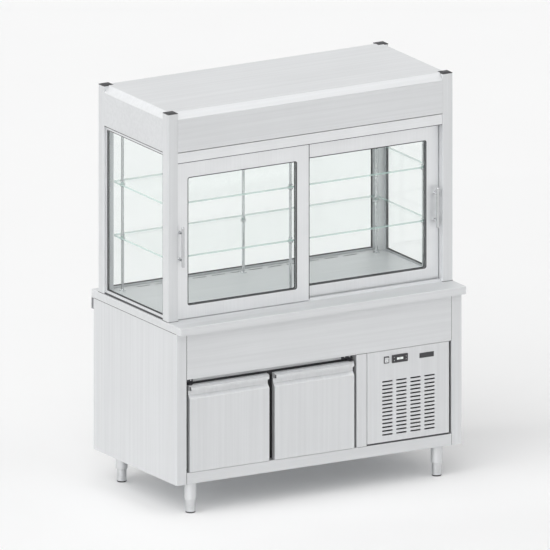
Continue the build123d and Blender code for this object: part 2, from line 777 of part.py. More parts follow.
def fixed_glass():
    """Three panes: the two sides and the customer's side at the back."""
    panes = []
    inset = CASE_HALF - PANE_INSET
    ends = (CASE_Y[0] + CASE_POST + 7, CASE_Y[1] - CASE_POST - 7)
    for side in (-1, 1):
        panes.append(block((side * inset, side * (inset - GLASS)), ends, (850, 1572)))
    back = CASE_Y[1] - PANE_INSET
    half = CASE_HALF - CASE_POST - 7
    panes.append(block((-half, half), (back - GLASS, back), (850, 1572)))
    return panes


def channel_bar(lip, foot):
    """The section of a glazing channel about its pane: (across, up) points, groove upwards."""
    gap = GLASS / 2 + 0.2
    if foot:
        base, top, seat = 8, 19, 11.5
        groove = [(-lip, top), (-gap, top), (-gap, seat), (gap, seat), (gap, top), (lip, top)]
        return outline((-7, 0), (-7, base), (-lip, base), *groove, (lip, base), (11, base), (11, 0))
    top, seat = 12, 4
    groove = [(-lip, top), (-gap, top), (-gap, seat), (gap, seat), (gap, top), (lip, top)]
    return outline((-lip, 0), *groove, (lip, 0))


def glass_channels():
    """Channels round each fixed pane: a footed sill, a head and two uprights."""
    bars = []
    sill_top, head_z = WORKTOP_TOP + 19, 1576
    middle = CASE_HALF - PANE_INSET - GLASS / 2
    ends = (CASE_Y[0] + CASE_POST + 0.5, CASE_Y[1] - CASE_POST - 0.5)
    sill, plain = channel_bar(5.2, True), channel_bar(5.2, False)
    for side in (-1, 1):
        lay = Pos(side * middle, WORKTOP_TOP) * (sill if side < 0 else mirror(sill, Plane.YZ))
        bars.append(run_y(lay, ends))
        bars.append(run_y(Pos(side * middle, head_z) * Rot(0, 0, 180) * plain, ends))
        for y, turn in ((ends[0], 0), (ends[1], 180)):
            section = Pos(side * middle, y) * Rot(0, 0, turn) * plain
            bars.append(run_z(section, (sill_top, head_z - 12)))
    back = CASE_Y[1] - PANE_INSET - GLASS / 2
    half = CASE_HALF - CASE_POST - 0.5
    bars.append(run_x(Pos(back, WORKTOP_TOP) * mirror(sill, Plane.YZ), (-half, half)))
    bars.append(run_x(Pos(back, head_z) * Rot(0, 0, 180) * plain, (-half, half)))
    for x, turn in ((-half, -90), (half, 90)):
        bars.append(run_z(Pos(x, back) * Rot(0, 0, turn) * plain, (sill_top, head_z - 12)))
    return bars


def ceiling_panel():
    """The lining above the display, turned up at its edges and notched at the back posts."""
    half, y, z = CASE_HALF - 27, (-208, 304), (1572, 1584)
    inner_y = (y[0] + SHEET, y[1] - SHEET)
    lining = block((-half, half), y, z)
    lining -= block((-half + SHEET, half - SHEET), inner_y, (z[0] + SHEET, z[1] + 1))
    notch = CASE_POST / 2 + 1
    for x, post_y in post_places():
        if post_y > 0:
            lining -= block((x - notch, x + notch), (post_y - notch, post_y + notch), (z[0] - 1, z[1] + 1))
    return lining


def lamp():
    """A slim light profile below the ceiling, with a rounded diffuser."""
    section = make_face([
        Polyline((-200, 1562), (-200, 1572), (-172, 1572), (-172, 1562)),
        ThreePointArc((-172, 1562), (-186, 1552), (-200, 1562)),
    ])
    return run_x(section, (-600, 600))


def glass_shelves():
    """Two glass shelves with holes for the uprights."""
    shelves = []
    for level in SHELF_LEVELS:
        shelf = Pos(0, 60, level) * extrude(RectangleRounded(1290, 460, 12), SHELF_GLASS)
        for x in UPRIGHT_X:
            for y in UPRIGHT_Y:
                shelf -= Pos(x, y, level) * Cylinder(6.8, 4 * SHELF_GLASS)
        shelves.append(shelf)
    return shelves


def shelf_uprights():
    """Round uprights from the deck to the ceiling, with a collar below each shelf."""
    foot, head = WORKTOP_TOP + 12, 1572
    points = [(0, foot), (14, foot), (14, foot + 4), (6, foot + 6)]
    for level in SHELF_LEVELS:
        points += [(6, level - 14), (12, level - 8), (12, level), (6, level)]
    points += [(6, head), (0, head)]
    upright = turned(*points)
    return [Pos(x, y, 0) * upright for x in UPRIGHT_X for y in UPRIGHT_Y]


def sliding_door(x, front, window):
    """A one-piece border with a rounded window, the pane in its groove, and the track groove."""
    y = (front, front + SLIDER_DEPTH)
    middle = front + SLIDER_DEPTH / 2
    border = block(x, y, SLIDER_Z)
    border = fillet(border.edges().filter_by(Axis.Z), 2)
    border -= rounded_slab(window, WINDOW_Z, (y[0] - 1, y[1] + 1), WINDOW_RADIUS)
    seat_x = (window[0] - 8, window[1] + 8)
    seat_z = (WINDOW_Z[0] - 8, WINDOW_Z[1] + 8)
    pane = block(seat_x, (middle - GLASS / 2, middle + GLASS / 2), seat_z)
    border -= pane
    border -= block((x[0] - 1, x[1] + 1), (middle - 2, middle + 2), (SLIDER_Z[0] - 1, SLIDER_Z[0] + 14))
    return border, pane


def bar_handle(x, front):
    """A round bar with rounded ends on two standoffs."""
    y = front - HANDLE_REACH
    half = HANDLE_LENGTH / 2
    bar = rod(HANDLE_RADIUS, (x, y, HANDLE_CENTRE - half), (x, y, HANDLE_CENTRE + half))
    bar = fillet(bar.edges().filter_by(GeomType.CIRCLE), 4)
    pieces = [bar]
    for z in (HANDLE_CENTRE - STANDOFF_PITCH / 2, HANDLE_CENTRE + STANDOFF_PITCH / 2):
        stem = rod(5, (x, y, z), (x, front, z)) + rod(7.5, (x, front - 3, z), (x, front, z))
        pieces.append(stem - bar)
    return pieces


save("base_pan", base_pan())
save("bottom_rail", bottom_rail())
save("side_panel_left", side_panel(-1))
save("side_panel_right", side_panel(1))
save("rear_panel", rear_panel())
save("lower_fascia", lower_fascia())
save("divider_post", divider_post())
save("worktop", worktop())
save("worktop_rail", worktop_rail())
save("leg_sleeves", *[Pos(x, y, 0) * leg_sleeve() for x, y in leg_places().values()])
for name, (leg_x, leg_y) in leg_places().items():
    save(name, Pos(leg_x, leg_y, 0) * foot())
save("door_surround", *door_surround())
save("insulated_box", *insulated_box())
left_hinge = DOOR_LEFT_X + HINGE_INSET
right_hinge = DOOR_RIGHT_X + DOOR_WIDTH - HINGE_INSET
for side, x0, hinge_x in (("left", DOOR_LEFT_X, left_hinge), ("right", DOOR_RIGHT_X, right_hinge)):
    door_skin, door_liner, door_gasket = hinged_door(x0, hinge_x)
    save(f"door_skin_{side}", door_skin)
    save(f"door_liner_{side}", door_liner)
    save(f"door_gasket_{side}", door_gasket)
save("hinge_brackets", *hinge_brackets(((left_hinge, 1), (right_hinge, -1))))
save("wire_shelves", *wire_shelves())
save("cold_box_evaporator", *cold_box_evaporator())
evaporator_wheel = fan(tip=56, hub=18, bore=2.5 + RUNNING_GAP, depth=18, blades=5)
save("evaporator_fan", on_y_axis(evaporator_wheel, EVAPORATOR_FAN[0], 193, EVAPORATOR_FAN[1]))
save("louvre_panel", louvre_panel())
save("switch_housing", switch_housing())
save("rocker_switch", rocker_switch())
save("controller_housing", controller_housing())
for name, (button_x, button_z) in button_places().items():
    save(name, button(button_x, button_z))
save("blank_plate", blank_plate())
save("condensing_tray", condensing_tray())
save("compressor", compressor())
save("condenser_coil", condenser_coil())
save("fan_shroud", fan_shroud())
condenser_wheel = fan(tip=FAN_RADIUS, hub=26, bore=3 + RUNNING_GAP, depth=26, blades=5)
save("condenser_fan", on_y_axis(condenser_wheel, FAN_CENTRE[0], -212, FAN_CENTRE[1]))
save("cable_gland", cable_gland())
save("copper_pipes", *copper_pipes())
save("corner_posts", *[Pos(x, y, 0) * case_post() for x, y in post_places()])
save("post_caps", *[Pos(x, y, 0) * post_cap() for x, y in post_places()])
save("roof_panel", roof_panel())
save("upper_fascias", *upper_fascias())
save("door_tracks", *door_tracks())
save("display_deck", display_deck())
save("fixed_glass", *fixed_glass())
save("glass_channels", *glass_channels())
save("ceiling_panel", ceiling_panel())
save("lamp", lamp())
save("glass_shelves", *glass_shelves())
save("shelf_uprights", *shelf_uprights())
for name, (span, front, window, handle_x) in slider_places().items():
    frame, pane = sliding_door(span, front, window)
    save(f"{name}_frame", frame)
    save(f"{name}_glass", pane)
    save(f"{name}_handle", *bar_handle(handle_x, front))
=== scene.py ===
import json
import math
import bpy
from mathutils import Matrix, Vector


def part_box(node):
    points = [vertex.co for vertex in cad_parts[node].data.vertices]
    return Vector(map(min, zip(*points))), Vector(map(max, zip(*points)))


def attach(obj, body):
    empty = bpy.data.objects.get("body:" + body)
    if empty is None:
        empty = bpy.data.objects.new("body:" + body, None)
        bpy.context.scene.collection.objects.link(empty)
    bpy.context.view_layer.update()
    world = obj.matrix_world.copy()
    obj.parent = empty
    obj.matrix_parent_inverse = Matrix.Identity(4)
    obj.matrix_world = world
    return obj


bl_info = {
    "name": "Refrigerated display counter",
    "version": (1, 0, 0),
    "blender": (4, 5, 0),
    "location": "3D View > Sidebar > Counter",
    "description": "Finishes and small pieces of a refrigerated display counter, built on its CAD frame",
    "category": "Object",
}

import bmesh
import bpy
from bpy.props import FloatProperty, FloatVectorProperty, PointerProperty
from mathutils import Matrix, Vector

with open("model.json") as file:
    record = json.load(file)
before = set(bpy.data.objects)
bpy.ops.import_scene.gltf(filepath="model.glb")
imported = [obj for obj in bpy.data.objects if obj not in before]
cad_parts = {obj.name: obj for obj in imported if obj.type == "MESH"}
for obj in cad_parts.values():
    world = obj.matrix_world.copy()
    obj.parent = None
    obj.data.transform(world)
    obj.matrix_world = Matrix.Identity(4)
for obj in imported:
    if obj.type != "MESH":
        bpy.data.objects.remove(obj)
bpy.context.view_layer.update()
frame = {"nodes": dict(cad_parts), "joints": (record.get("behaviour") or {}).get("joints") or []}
nodes = frame["nodes"]

# Metres. X runs to the operator's right, Y to the customer's side, Z up.
MM = 0.001
AXES = "XYZ"
SIDES = ("left", "right")

# The turn that lays a primitive's own axis, Z, along each axis
TURNS = {"X": (0, math.pi / 2, 0), "Y": (math.pi / 2, 0, 0), "Z": (0, 0, 0)}

# The square posts at the case's corners, and the gap between a post and the channels beside it
POST = 48 * MM
POST_GAP = 0.5 * MM

# How metallic the steel sheet is under its film of use
SHEET_METALLIC = 0.62


# Settings that a user may change


def size(label, text, default):
    """A small length setting, given in millimetres."""
    return FloatProperty(name=label, description=text, default=default * MM, unit="LENGTH", precision=5)


def large_size(label, text, default):
    """A large length setting, given in metres."""
    return FloatProperty(name=label, description=text, default=default, unit="LENGTH")


def angle(label, text, default):
    """An angle setting, given in degrees."""
    return FloatProperty(name=label, description=text, default=math.radians(default), subtype="ANGLE")


def tint(label, text, colour):
    """A colour setting."""
    return FloatVectorProperty(name=label, description=text, default=colour, subtype="COLOR", min=0, max=1)


class CounterSizes(bpy.types.PropertyGroup):
    """Sizes of the small pieces."""

    bead_width: size("Bead width", "Width of the dark glazing beads round the windows", 3.5)
    bead_proud: size("Bead height", "How far a glazing bead stands off its pane", 1.2)
    edge_ease: size("Edge easing", "Width of the bevel on the sharp edges of sheets and frames", 0.7)
    screw_radius: size("Screw head", "Radius of a screw head", 4.0)
    mark_rise: size("Mark height", "How far printed marks stand on the buttons and the rocker", 0.15)
    fin_pitch: size("Fin pitch", "Distance between the condenser's fins", 4.0)
    ring_section: size("Ring section", "Radius of the rings that hold the glass shelves", 1.8)
    guard_wire: size("Guard wire", "Radius of the evaporator fan guard's wires", 1.3)


class CounterFinishes(bpy.types.PropertyGroup):
    """Colours of the finishes."""

    steel: tint("Steel", "Brushed stainless steel", (0.67, 0.68, 0.69))
    zinc: tint("Zinc", "Galvanised sheet", (0.56, 0.58, 0.60))
    polished: tint("Polished steel", "Handles, uprights and wires", (0.58, 0.59, 0.60))
    anodised: tint("Aluminium", "Satin anodised aluminium", (0.76, 0.77, 0.78))
    glass: tint("Glass", "Colour that the glass lets through", (0.985, 0.995, 0.992))
    glass_edge: tint("Glass edge", "Colour of the ground edges of the glass", (0.50, 0.68, 0.63))
    foam: tint("Cold box", "White lining of the cold box", (0.88, 0.89, 0.90))
    black: tint("Black plastic", "Housings, caps and door surround", (0.013, 0.013, 0.014))
    rubber: tint("Rubber", "Gaskets, beads and soles", (0.018, 0.018, 0.019))
    grey: tint("Grey plastic", "Rocker, door liners and drain cover", (0.74, 0.75, 0.76))
    paint: tint("Black paint", "Compressor, fan and hinge brackets", (0.026, 0.027, 0.030))
    copper: tint("Copper", "Refrigerant pipes", (0.72, 0.36, 0.22))
    lamp: tint("Lamp", "Opal diffuser of the lamp", (0.95, 0.95, 0.91))
    lens: tint("Display window", "Pale window of the temperature controller", (0.78, 0.82, 0.80))


class CounterStage(bpy.types.PropertyGroup):
    """Camera and floor."""

    azimuth: angle("Azimuth", "Angle of the view round the counter", -30)
    elevation: angle("Elevation", "Angle of the view above the floor", 15)
    view_width: large_size("View width", "Width of the parallel view", 2.335)
    aim: FloatVectorProperty(
        name="Aim", description="Point at the middle of the view", subtype="XYZ",
        default=(-0.01415, 0.00817, 0.8931),
    )
    floor: tint("Floor", "Colour of the floor", (0.90, 0.90, 0.90))
    floor_size: large_size("Floor size", "Side of the floor", 160)


def sizes():
    return bpy.context.scene.counter_sizes


def finishes():
    return bpy.context.scene.counter_finishes


# Shader nodes


class Value:
    """One output of a node, which can stand in sums."""

    def __init__(self, shader, socket):
        self.shader = shader
        self.socket = socket

    def combine(self, operation, first, second):
        return self.shader.node("ShaderNodeMath", {"operation": operation}, {0: first, 1: second})["Value"]

    def __add__(self, other):
        return self.combine("ADD", self, other)

    def __radd__(self, other):
        return self.combine("ADD", other, self)

    def __sub__(self, other):
        return self.combine("SUBTRACT", self, other)

    def __rsub__(self, other):
        return self.combine("SUBTRACT", other, self)

    def __mul__(self, other):
        return self.combine("MULTIPLY", self, other)

    def __rmul__(self, other):
        return self.combine("MULTIPLY", other, self)

    def __pow__(self, other):
        return self.combine("POWER", self, other)

    def __gt__(self, other):
        return self.combine("GREATER_THAN", self, other)

    def __lt__(self, other):
        return self.combine("LESS_THAN", self, other)


class Outputs:
    """The outputs of one node, found by name."""

    def __init__(self, shader, node):
        self.shader = shader
        self.node = node

    def __getitem__(self, name):
        socket = next(s for s in self.node.outputs if s.enabled and s.name == name)
        return Value(self.shader, socket)


class Shader:
    """The node tree of a material or of the world."""

    def __init__(self, owner):
        owner.use_nodes = True
        self.owner = owner
        self.tree = owner.node_tree
        self.tree.nodes.clear()

    def node(self, kind, settings=None, inputs=None):
        """Add a node, make its settings, then fill its sockets with values or links."""
        node = self.tree.nodes.new(kind)
        for name, value in (settings or {}).items():
            setattr(node, name, value)
        usable = [s for s in node.inputs if s.enabled]
        for key, value in (inputs or {}).items():
            socket = usable[key] if isinstance(key, int) else next(s for s in usable if s.name == key)
            if isinstance(value, Value):
                self.tree.links.new(value.socket, socket)
            elif socket.type == "RGBA":
                socket.default_value = (*value, 1.0)
            else:
                socket.default_value = value
        return Outputs(self, node)

    def place(self):
        return self.node("ShaderNodeTexCoord")["Object"]

    def coordinate(self, vector, axis):
        return self.node("ShaderNodeSeparateXYZ", inputs={"Vector": vector})[axis]

    def noise(self, place, scale, detail):
        inputs = {"Vector": place, "Scale": scale, "Detail": detail}
        return self.node("ShaderNodeTexNoise", inputs=inputs)["Fac"]

    def grain(self, place, axis, along, across):
        """Noise drawn out along one axis, as brushing leaves it."""
        stretch = [across] * 3
        stretch[AXES.index(axis)] = along
        inputs = {0: place, 1: stretch}
        drawn = self.node("ShaderNodeVectorMath", {"operation": "MULTIPLY"}, inputs)["Vector"]
        return self.noise(drawn, 1.0, 2.0)

    def blend(self, factor, first, second):
        """Mix two colours."""
        inputs = {"Factor": factor, "A": first, "B": second}
        return self.node("ShaderNodeMix", {"data_type": "RGBA"}, inputs)["Result"]

    def bump(self, height, strength, distance):
        inputs = {"Strength": strength, "Distance": distance, "Height": height}
        return self.node("ShaderNodeBump", inputs=inputs)["Normal"]

    def surface(self, **inputs):
        """The main shader. A keyword's underscores stand for the spaces in a socket's name."""
        named = {key.replace("_", " "): value for key, value in inputs.items()}
        return self.node("ShaderNodeBsdfPrincipled", inputs=named)["BSDF"]

    def finish(self, shader):
        self.node("ShaderNodeOutputMaterial", inputs={"Surface": shader})
        return self.owner


def shade(colour, factor):
    """A colour made darker or lighter."""
    return tuple(min(1.0, channel * factor) for channel in colour)


def made_once(build):
    """Keep each material that is asked for more than once."""

    def find(*details):
        name = "_".join([build.__name__, *[str(d).lower() for d in details]])
        known = bpy.data.materials.get(name)
        if known:
            return known
        return build(Shader(bpy.data.materials.new(name)), *details)

    return find


def brushing(shader, place, axis):
    """The colour, roughness and relief of sheet brushed along one axis, with streaks and faint smudges."""
    colour = finishes().steel
    fine = shader.grain(place, axis, 5, 1100)
    streaks = shader.grain(place, axis, 1.1, 75)
    smudges = shader.noise(place, 4.2, 3)
    tone = 0.28 * fine + 0.52 * streaks + 0.20 * smudges
    base = shader.blend(tone, shade(colour, 0.84), shade(colour, 1.16))
    roughness = 0.36 + 0.12 * fine + 0.06 * streaks + 0.10 * smudges
    return base, roughness, shader.bump(fine, 0.10, 0.0002)


@made_once
def brushed_steel(shader, axis):
    """Stainless sheet, brushed along one axis."""
    base, roughness, normal = brushing(shader, shader.place(), axis)
    return shader.finish(shader.surface(
        Base_Color=base, Metallic=SHEET_METALLIC, Roughness=roughness, Normal=normal
    ))


@made_once
def louvred_steel(shader, skin):
    """Brushed steel with black blades behind its field of slots, deeper than the skin in millimetres. The
    black on the blades is painted shade that makes the slots read dark.
    """
    # How far the field of slots ends from the panel's sides, top and bottom
    side, head, foot = 55 * MM, 110 * MM, 16.5 * MM
    low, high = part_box("louvre_panel")
    place = shader.place()
    x, y, z = (shader.coordinate(place, axis) for axis in AXES)
    face, roughness, normal = brushing(shader, place, "Z")
    field = (x > low.x + side) * (x < high.x - side) * (z < high.z - head) * (z > low.z + foot)
    # Painted shade: the blades behind the slots are coloured black so that the slots read as dark shade.
    blades_painted_shade = field * (y > low.y + skin * MM)
    return shader.finish(shader.surface(
        Base_Color=shader.blend(blades_painted_shade, face, finishes().paint), Metallic=SHEET_METALLIC * (1 - blades_painted_shade),
        Roughness=roughness + 0.15 * blades_painted_shade, Normal=normal
    ))


@made_once
def anodised_aluminium(shader, axis):
    """Extruded aluminium with a fine satin anodised skin and faint die lines."""
    colour = finishes().anodised
    place = shader.place()
    die_lines = shader.grain(place, axis, 0.6, 420)
    cloud = shader.noise(place, 9, 2)
    base = shader.blend(0.6 * die_lines + 0.4 * cloud, shade(colour, 0.90), shade(colour, 1.10))
    roughness = 0.34 + 0.08 * die_lines + 0.06 * cloud
    normal = shader.bump(shader.noise(place, 2600, 1), 0.05, 0.0001)
    return shader.finish(shader.surface(
        Base_Color=base, Metallic=1.0, Roughness=roughness, Normal=normal
    ))


@made_once
def polished_steel(shader):
    """Bright bar and wire, with fine turning marks and finger marks in the gloss."""
    colour = finishes().polished
    place = shader.place()
    marks = shader.noise(place, 38, 3)
    turning = shader.grain(place, "Z", 1500, 30)
    base = shader.blend(marks, shade(colour, 0.92), shade(colour, 1.05))
    return shader.finish(shader.surface(
        Base_Color=base, Metallic=1.0, Roughness=0.06 + 0.10 * marks + 0.03 * turning
    ))


@made_once
def galvanised_sheet(shader):
    """Zinc-coated sheet with its crystals."""
    colour = finishes().zinc
    place = shader.place()
    cells = shader.node("ShaderNodeTexVoronoi", inputs={"Vector": place, "Scale": 95.0})
    crystal = shader.node("ShaderNodeSeparateColor", inputs={"Color": cells["Color"]})["Red"]
    cloud = shader.noise(place, 14, 3)
    base = shader.blend(0.65 * crystal + 0.35 * cloud, shade(colour, 0.78), shade(colour, 1.15))
    return shader.finish(shader.surface(
        Base_Color=base, Metallic=0.9, Roughness=0.34 + 0.16 * crystal + 0.06 * cloud
    ))


def moulded(shader, colour, roughness, grain_scale, depth, specular=0.5):
    """Moulded plastic with a fine eroded texture and slight uneven gloss."""
    place = shader.place()
    texture = shader.noise(place, grain_scale, 2)
    cloud = shader.noise(place, 22, 3)
    base = shader.blend(0.5 * texture + 0.5 * cloud, shade(colour, 0.88), shade(colour, 1.14))
    normal = shader.bump(texture, 0.35, depth)
    return shader.finish(shader.surface(
        Base_Color=base, Roughness=roughness + 0.10 * texture + 0.08 * cloud, Normal=normal,
        Specular_IOR_Level=specular
    ))


@made_once
def black_plastic(shader):
    return moulded(shader, finishes().black, 0.42, 1700, 0.00010, 0.3)


@made_once
def dark_rubber(shader):
    return moulded(shader, finishes().rubber, 0.62, 1100, 0.00014, 0.25)


@made_once
def grey_plastic(shader):
    return moulded(shader, finishes().grey, 0.26, 2100, 0.00003)


@made_once
def printed_mark(shader):
    return moulded(shader, (0.05, 0.05, 0.055), 0.5, 2400, 0.00002)


@made_once
def white_mark(shader):
    return moulded(shader, (0.85, 0.86, 0.86), 0.5, 2400, 0.00002)


@made_once
def display_lens(shader):
    """The pale window behind the digits, with a slightly uneven glow."""
    colour = finishes().lens
    place = shader.place()
    glow = shader.noise(place, 60, 2)
    base = shader.blend(glow, shade(colour, 0.94), shade(colour, 1.06))
    return shader.finish(shader.surface(
        Base_Color=base, Roughness=0.10 + 0.05 * glow, Emission_Color=base, Emission_Strength=0.15
    ))


@made_once
def smoked_window(shader):
    """Glossy dark plastic with faint wiping marks."""
    colour = finishes().black
    place = shader.place()
    wiped = shader.grain(place, "X", 20, 260)
    base = shader.blend(wiped, shade(colour, 0.8), shade(colour, 1.5))
    return shader.finish(shader.surface(Base_Color=base, Roughness=0.08 + 0.10 * wiped))


@made_once
def black_paint(shader):
    """Semi-gloss stoved paint with a slight orange-peel surface."""
    colour = finishes().paint
    place = shader.place()
    peel = shader.noise(place, 520, 2)
    dust = shader.noise(place, 16, 4)
    base = shader.blend(dust, shade(colour, 0.80), shade(colour, 1.45))
    normal = shader.bump(peel, 0.30, 0.00012)
    return shader.finish(shader.surface(
        Base_Color=base, Roughness=0.28 + 0.22 * dust, Normal=normal
    ))


@made_once
def copper_tube(shader):
    """Drawn tube, darker where it has been handled and warmed."""
    colour = finishes().copper
    place = shader.place()
    stain = shader.noise(place, 26, 4)
    drawn = shader.noise(place, 300, 2)
    base = shader.blend(0.75 * stain + 0.25 * drawn, shade(colour, 0.55), shade(colour, 1.20))
    return shader.finish(shader.surface(
        Base_Color=base, Metallic=1.0, Roughness=0.22 + 0.22 * stain
    ))


@made_once
def cold_box_lining(shader):
    """White coated sheet with a faint stucco emboss."""
    colour = finishes().foam
    place = shader.place()
    stucco = shader.noise(place, 210, 2)
    cloud = shader.noise(place, 5, 3)
    base = shader.blend(0.3 * stucco + 0.7 * cloud, shade(colour, 0.94), shade(colour, 1.05))
    normal = shader.bump(stucco, 0.40, 0.0005)
    return shader.finish(shader.surface(
        Base_Color=base, Roughness=0.30 + 0.12 * stucco, Normal=normal
    ))


@made_once
def opal_diffuser(shader):
    """Ribbed opal plastic, lit from inside."""
    colour = finishes().lamp
    place = shader.place()
    cloud = shader.noise(place, 30, 2)
    ribs = shader.grain(place, "X", 0.5, 900)
    base = shader.blend(cloud, shade(colour, 0.96), shade(colour, 1.03))
    normal = shader.bump(ribs, 0.25, 0.0002)
    return shader.finish(shader.surface(
        Base_Color=base, Roughness=0.30 + 0.08 * cloud, Normal=normal,
        Emission_Color=base, Emission_Strength=3.0
    ))


@made_once
def foot_finish(shader, sole):
    """A bright levelling foot above a dark sole of the given height in millimetres."""
    steel, rubber = finishes().steel, finishes().rubber
    place = shader.place()
    height = shader.coordinate(place, "Z")
    upper = height > sole * MM
    turning = shader.grain(place, "Z", 900, 6)
    scuffs = shader.noise(place, 48, 4)
    metal = shader.blend(0.4 * turning + 0.6 * scuffs, shade(steel, 0.80), shade(steel, 1.15))
    base = shader.blend(upper, rubber, metal)
    roughness = 0.60 - 0.34 * upper + 0.10 * scuffs
    return shader.finish(shader.surface(Base_Color=base, Metallic=upper, Roughness=roughness))


@made_once
def clear_glass(shader, edge_axes):
    """Thin clear glass. Faces that look along one of the edge axes show the ground edge's colour."""
    through, edge = finishes().glass, finishes().glass_edge
    place = shader.place()
    film = shader.noise(place, 7, 3)
    gloss = shader.surface(
        Base_Color=(0.9, 0.9, 0.9), Metallic=1.0, Roughness=0.02 + 0.05 * film
    )
    clear = shader.node("ShaderNodeBsdfTransparent", inputs={"Color": through})["BSDF"]
    slope = shader.node("ShaderNodeLayerWeight", inputs={"Blend": 0.5})["Facing"]
    mirror = 0.02 + 0.02 * film + 0.6 * slope**5
    pane = shader.node("ShaderNodeMixShader", inputs={0: mirror, 1: clear, 2: gloss})
    ground = shader.surface(Base_Color=edge, Roughness=0.32 + 0.1 * film)
    normal = shader.node("ShaderNodeNewGeometry")["True Normal"]
    facing = 0.0
    for axis in edge_axes:
        part = shader.coordinate(normal, axis)
        facing = part * part + facing
    cut = 0.6 * (facing > 0.5)
    body = shader.node("ShaderNodeMixShader", inputs={0: cut, 1: pane["Shader"], 2: ground})
    return shader.finish(body["Shader"])


# Modelling by hand: primitives that are shaped in edit mode


def deselect():
    bpy.ops.object.select_all(action="DESELECT")


def select_only(piece):
    """Make a piece the active object and the only selected one."""
    deselect()
    piece.select_set(True)
    bpy.context.view_layer.objects.active = piece


def settle(piece):
    """Put the place, turn and scale of an object into its mesh."""
    select_only(piece)
    bpy.ops.object.transform_apply(location=True, rotation=True, scale=True)
    return piece


def start_piece(name):
    """Name and settle the primitive that was just added."""
    piece = bpy.context.object
    piece.name = name
    return settle(piece)


def block(name, low, high):
    """A cube primitive between two corners."""
    deselect()
    low, high = Vector(low), Vector(high)
    bpy.ops.mesh.primitive_cube_add(size=1, location=(low + high) / 2)
    bpy.context.object.scale = high - low
    return start_piece(name)


def drum(name, centre, radius, depth, axis, vertices):
    """A cylinder primitive about a point, standing along one axis."""
    deselect()
    bpy.ops.mesh.primitive_cylinder_add(
        vertices=vertices, radius=radius, depth=depth, location=centre, rotation=TURNS[axis]
    )
    return start_piece(name)


def loop_ring(name, centre, radius, section, axis, around, across):
    """A torus primitive about a point."""
    deselect()
    bpy.ops.mesh.primitive_torus_add(
        major_radius=radius, minor_radius=section, major_segments=around, minor_segments=across,
        location=centre, rotation=TURNS[axis],
    )
    return start_piece(name)


def start_edit(piece):
    """Enter edit mode with nothing selected."""
    select_only(piece)
    bpy.ops.object.mode_set(mode="EDIT")
    bpy.ops.mesh.select_all(action="DESELECT")


def pick_faces(piece, axis, sign=0, least_area=0.0):
    """Select the faces that look along an axis, either way or only the way of the sign."""
    bpy.ops.mesh.select_mode(type="FACE")
    mesh = bmesh.from_edit_mesh(piece.data)
    for face in mesh.faces:
        part = face.normal[AXES.index(axis)]
        looks = abs(part) > 0.9 if sign == 0 else part * sign > 0.9
        face.select_set(looks and face.calc_area() > least_area)
    bmesh.update_edit_mesh(piece.data)


def pick_edges(piece, axis, wanted=lambda end: True):
    """Select the edges that run along an axis and whose first end passes a test."""
    bpy.ops.mesh.select_mode(type="EDGE")
    mesh = bmesh.from_edit_mesh(piece.data)
    for edge in mesh.edges:
        start, end = (corner.co for corner in edge.verts)
        step = end - start
        runs = abs(step[AXES.index(axis)]) > 0.99 * step.length
        edge.select_set(runs and wanted(start))
    bmesh.update_edit_mesh(piece.data)


def end_edit(piece):
    """Turn all faces outwards and leave edit mode."""
    bpy.ops.mesh.select_all(action="SELECT")
    bpy.ops.mesh.normals_make_consistent(inside=False)
    bpy.ops.object.mode_set(mode="OBJECT")
    return piece


def bevel_picked(width, segments):
    bpy.ops.mesh.bevel(offset=width, segments=segments, affect="EDGES")


def bore(piece, axis, rim):
    """Bore a piece through along an axis, up to a rim of the given width, and leave edit mode."""
    pick_faces(piece, axis)
    bpy.ops.mesh.inset(thickness=rim, depth=0)
    bpy.ops.mesh.bridge_edge_loops()
    return end_edit(piece)


def flat_frame(name, low, high, axis, width, corner=0.0):
    """A flat frame: a block whose corners may be rounded, bored through along one axis."""
    piece = block(name, low, high)
    start_edit(piece)
    if corner:
        pick_edges(piece, axis)
        bevel_picked(corner, 6)
    return bore(piece, axis, width)


def ease_edges(piece, width, segments=2):
    """Apply a small bevel to the sharp edges."""
    select_only(piece)
    bevel = piece.modifiers.new("eased_edges", "BEVEL")
    bevel.width = width
    bevel.segments = segments
    bevel.limit_method = "ANGLE"
    bevel.angle_limit = math.radians(40)
    bpy.ops.object.modifier_apply(modifier=bevel.name)
    return piece


def smooth(piece):
    """Shade the shallow edges smooth."""
    select_only(piece)
    bpy.ops.object.shade_smooth_by_angle(angle=math.radians(35))
    return piece


def copy_piece(piece, name, offset):
    """A copy with its own mesh, moved by an offset."""
    twin = piece.copy()
    twin.data = piece.data.copy()
    twin.name = name
    bpy.context.collection.objects.link(twin)
    twin.data.transform(Matrix.Translation(Vector(offset)))
    return twin


def join(name, pieces):
    """Join pieces into one set."""
    first = pieces[0]
    select_only(first)
    for piece in pieces:
        piece.select_set(True)
    bpy.ops.object.join()
    first.name = name
    return first


def repeat(name, pattern, offsets):
    """Copy a pattern piece to each offset, join the copies, and drop the pattern."""
    copies = [copy_piece(pattern, f"{name}_{index}", offset) for index, offset in enumerate(offsets)]
    bpy.data.objects.remove(pattern)
    return join(name, copies)


def hand_over(piece, body, material):
    """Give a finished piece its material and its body."""
    piece.data.materials.clear()
    piece.data.materials.append(material)
    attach(piece, body)


def screw_head(direction):
    """A pan head with a recess at the origin, looking along Y the way of the direction."""
    radius = sizes().screw_radius
    height = 0.5 * radius
    piece = drum("screw", (0, direction * height / 2, 0), radius, height, "Y", 20)
    start_edit(piece)
    pick_faces(piece, "Y", direction)
    bevel_picked(0.35 * radius, 3)
    pick_faces(piece, "Y", direction, radius**2)
    bpy.ops.mesh.inset(thickness=0.22 * radius, depth=0)
    bpy.ops.mesh.inset(thickness=0.04 * radius, depth=-0.3 * height)
    return smooth(end_edit(piece))


def between_posts():
    """The space between the corner posts that the channels fill: half of it in X, and its ends in Y."""
    low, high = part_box("corner_posts")
    taken = POST + POST_GAP
    return high.x - taken, (low.y + taken, high.y - taken)


# CAD nodes and their finishes


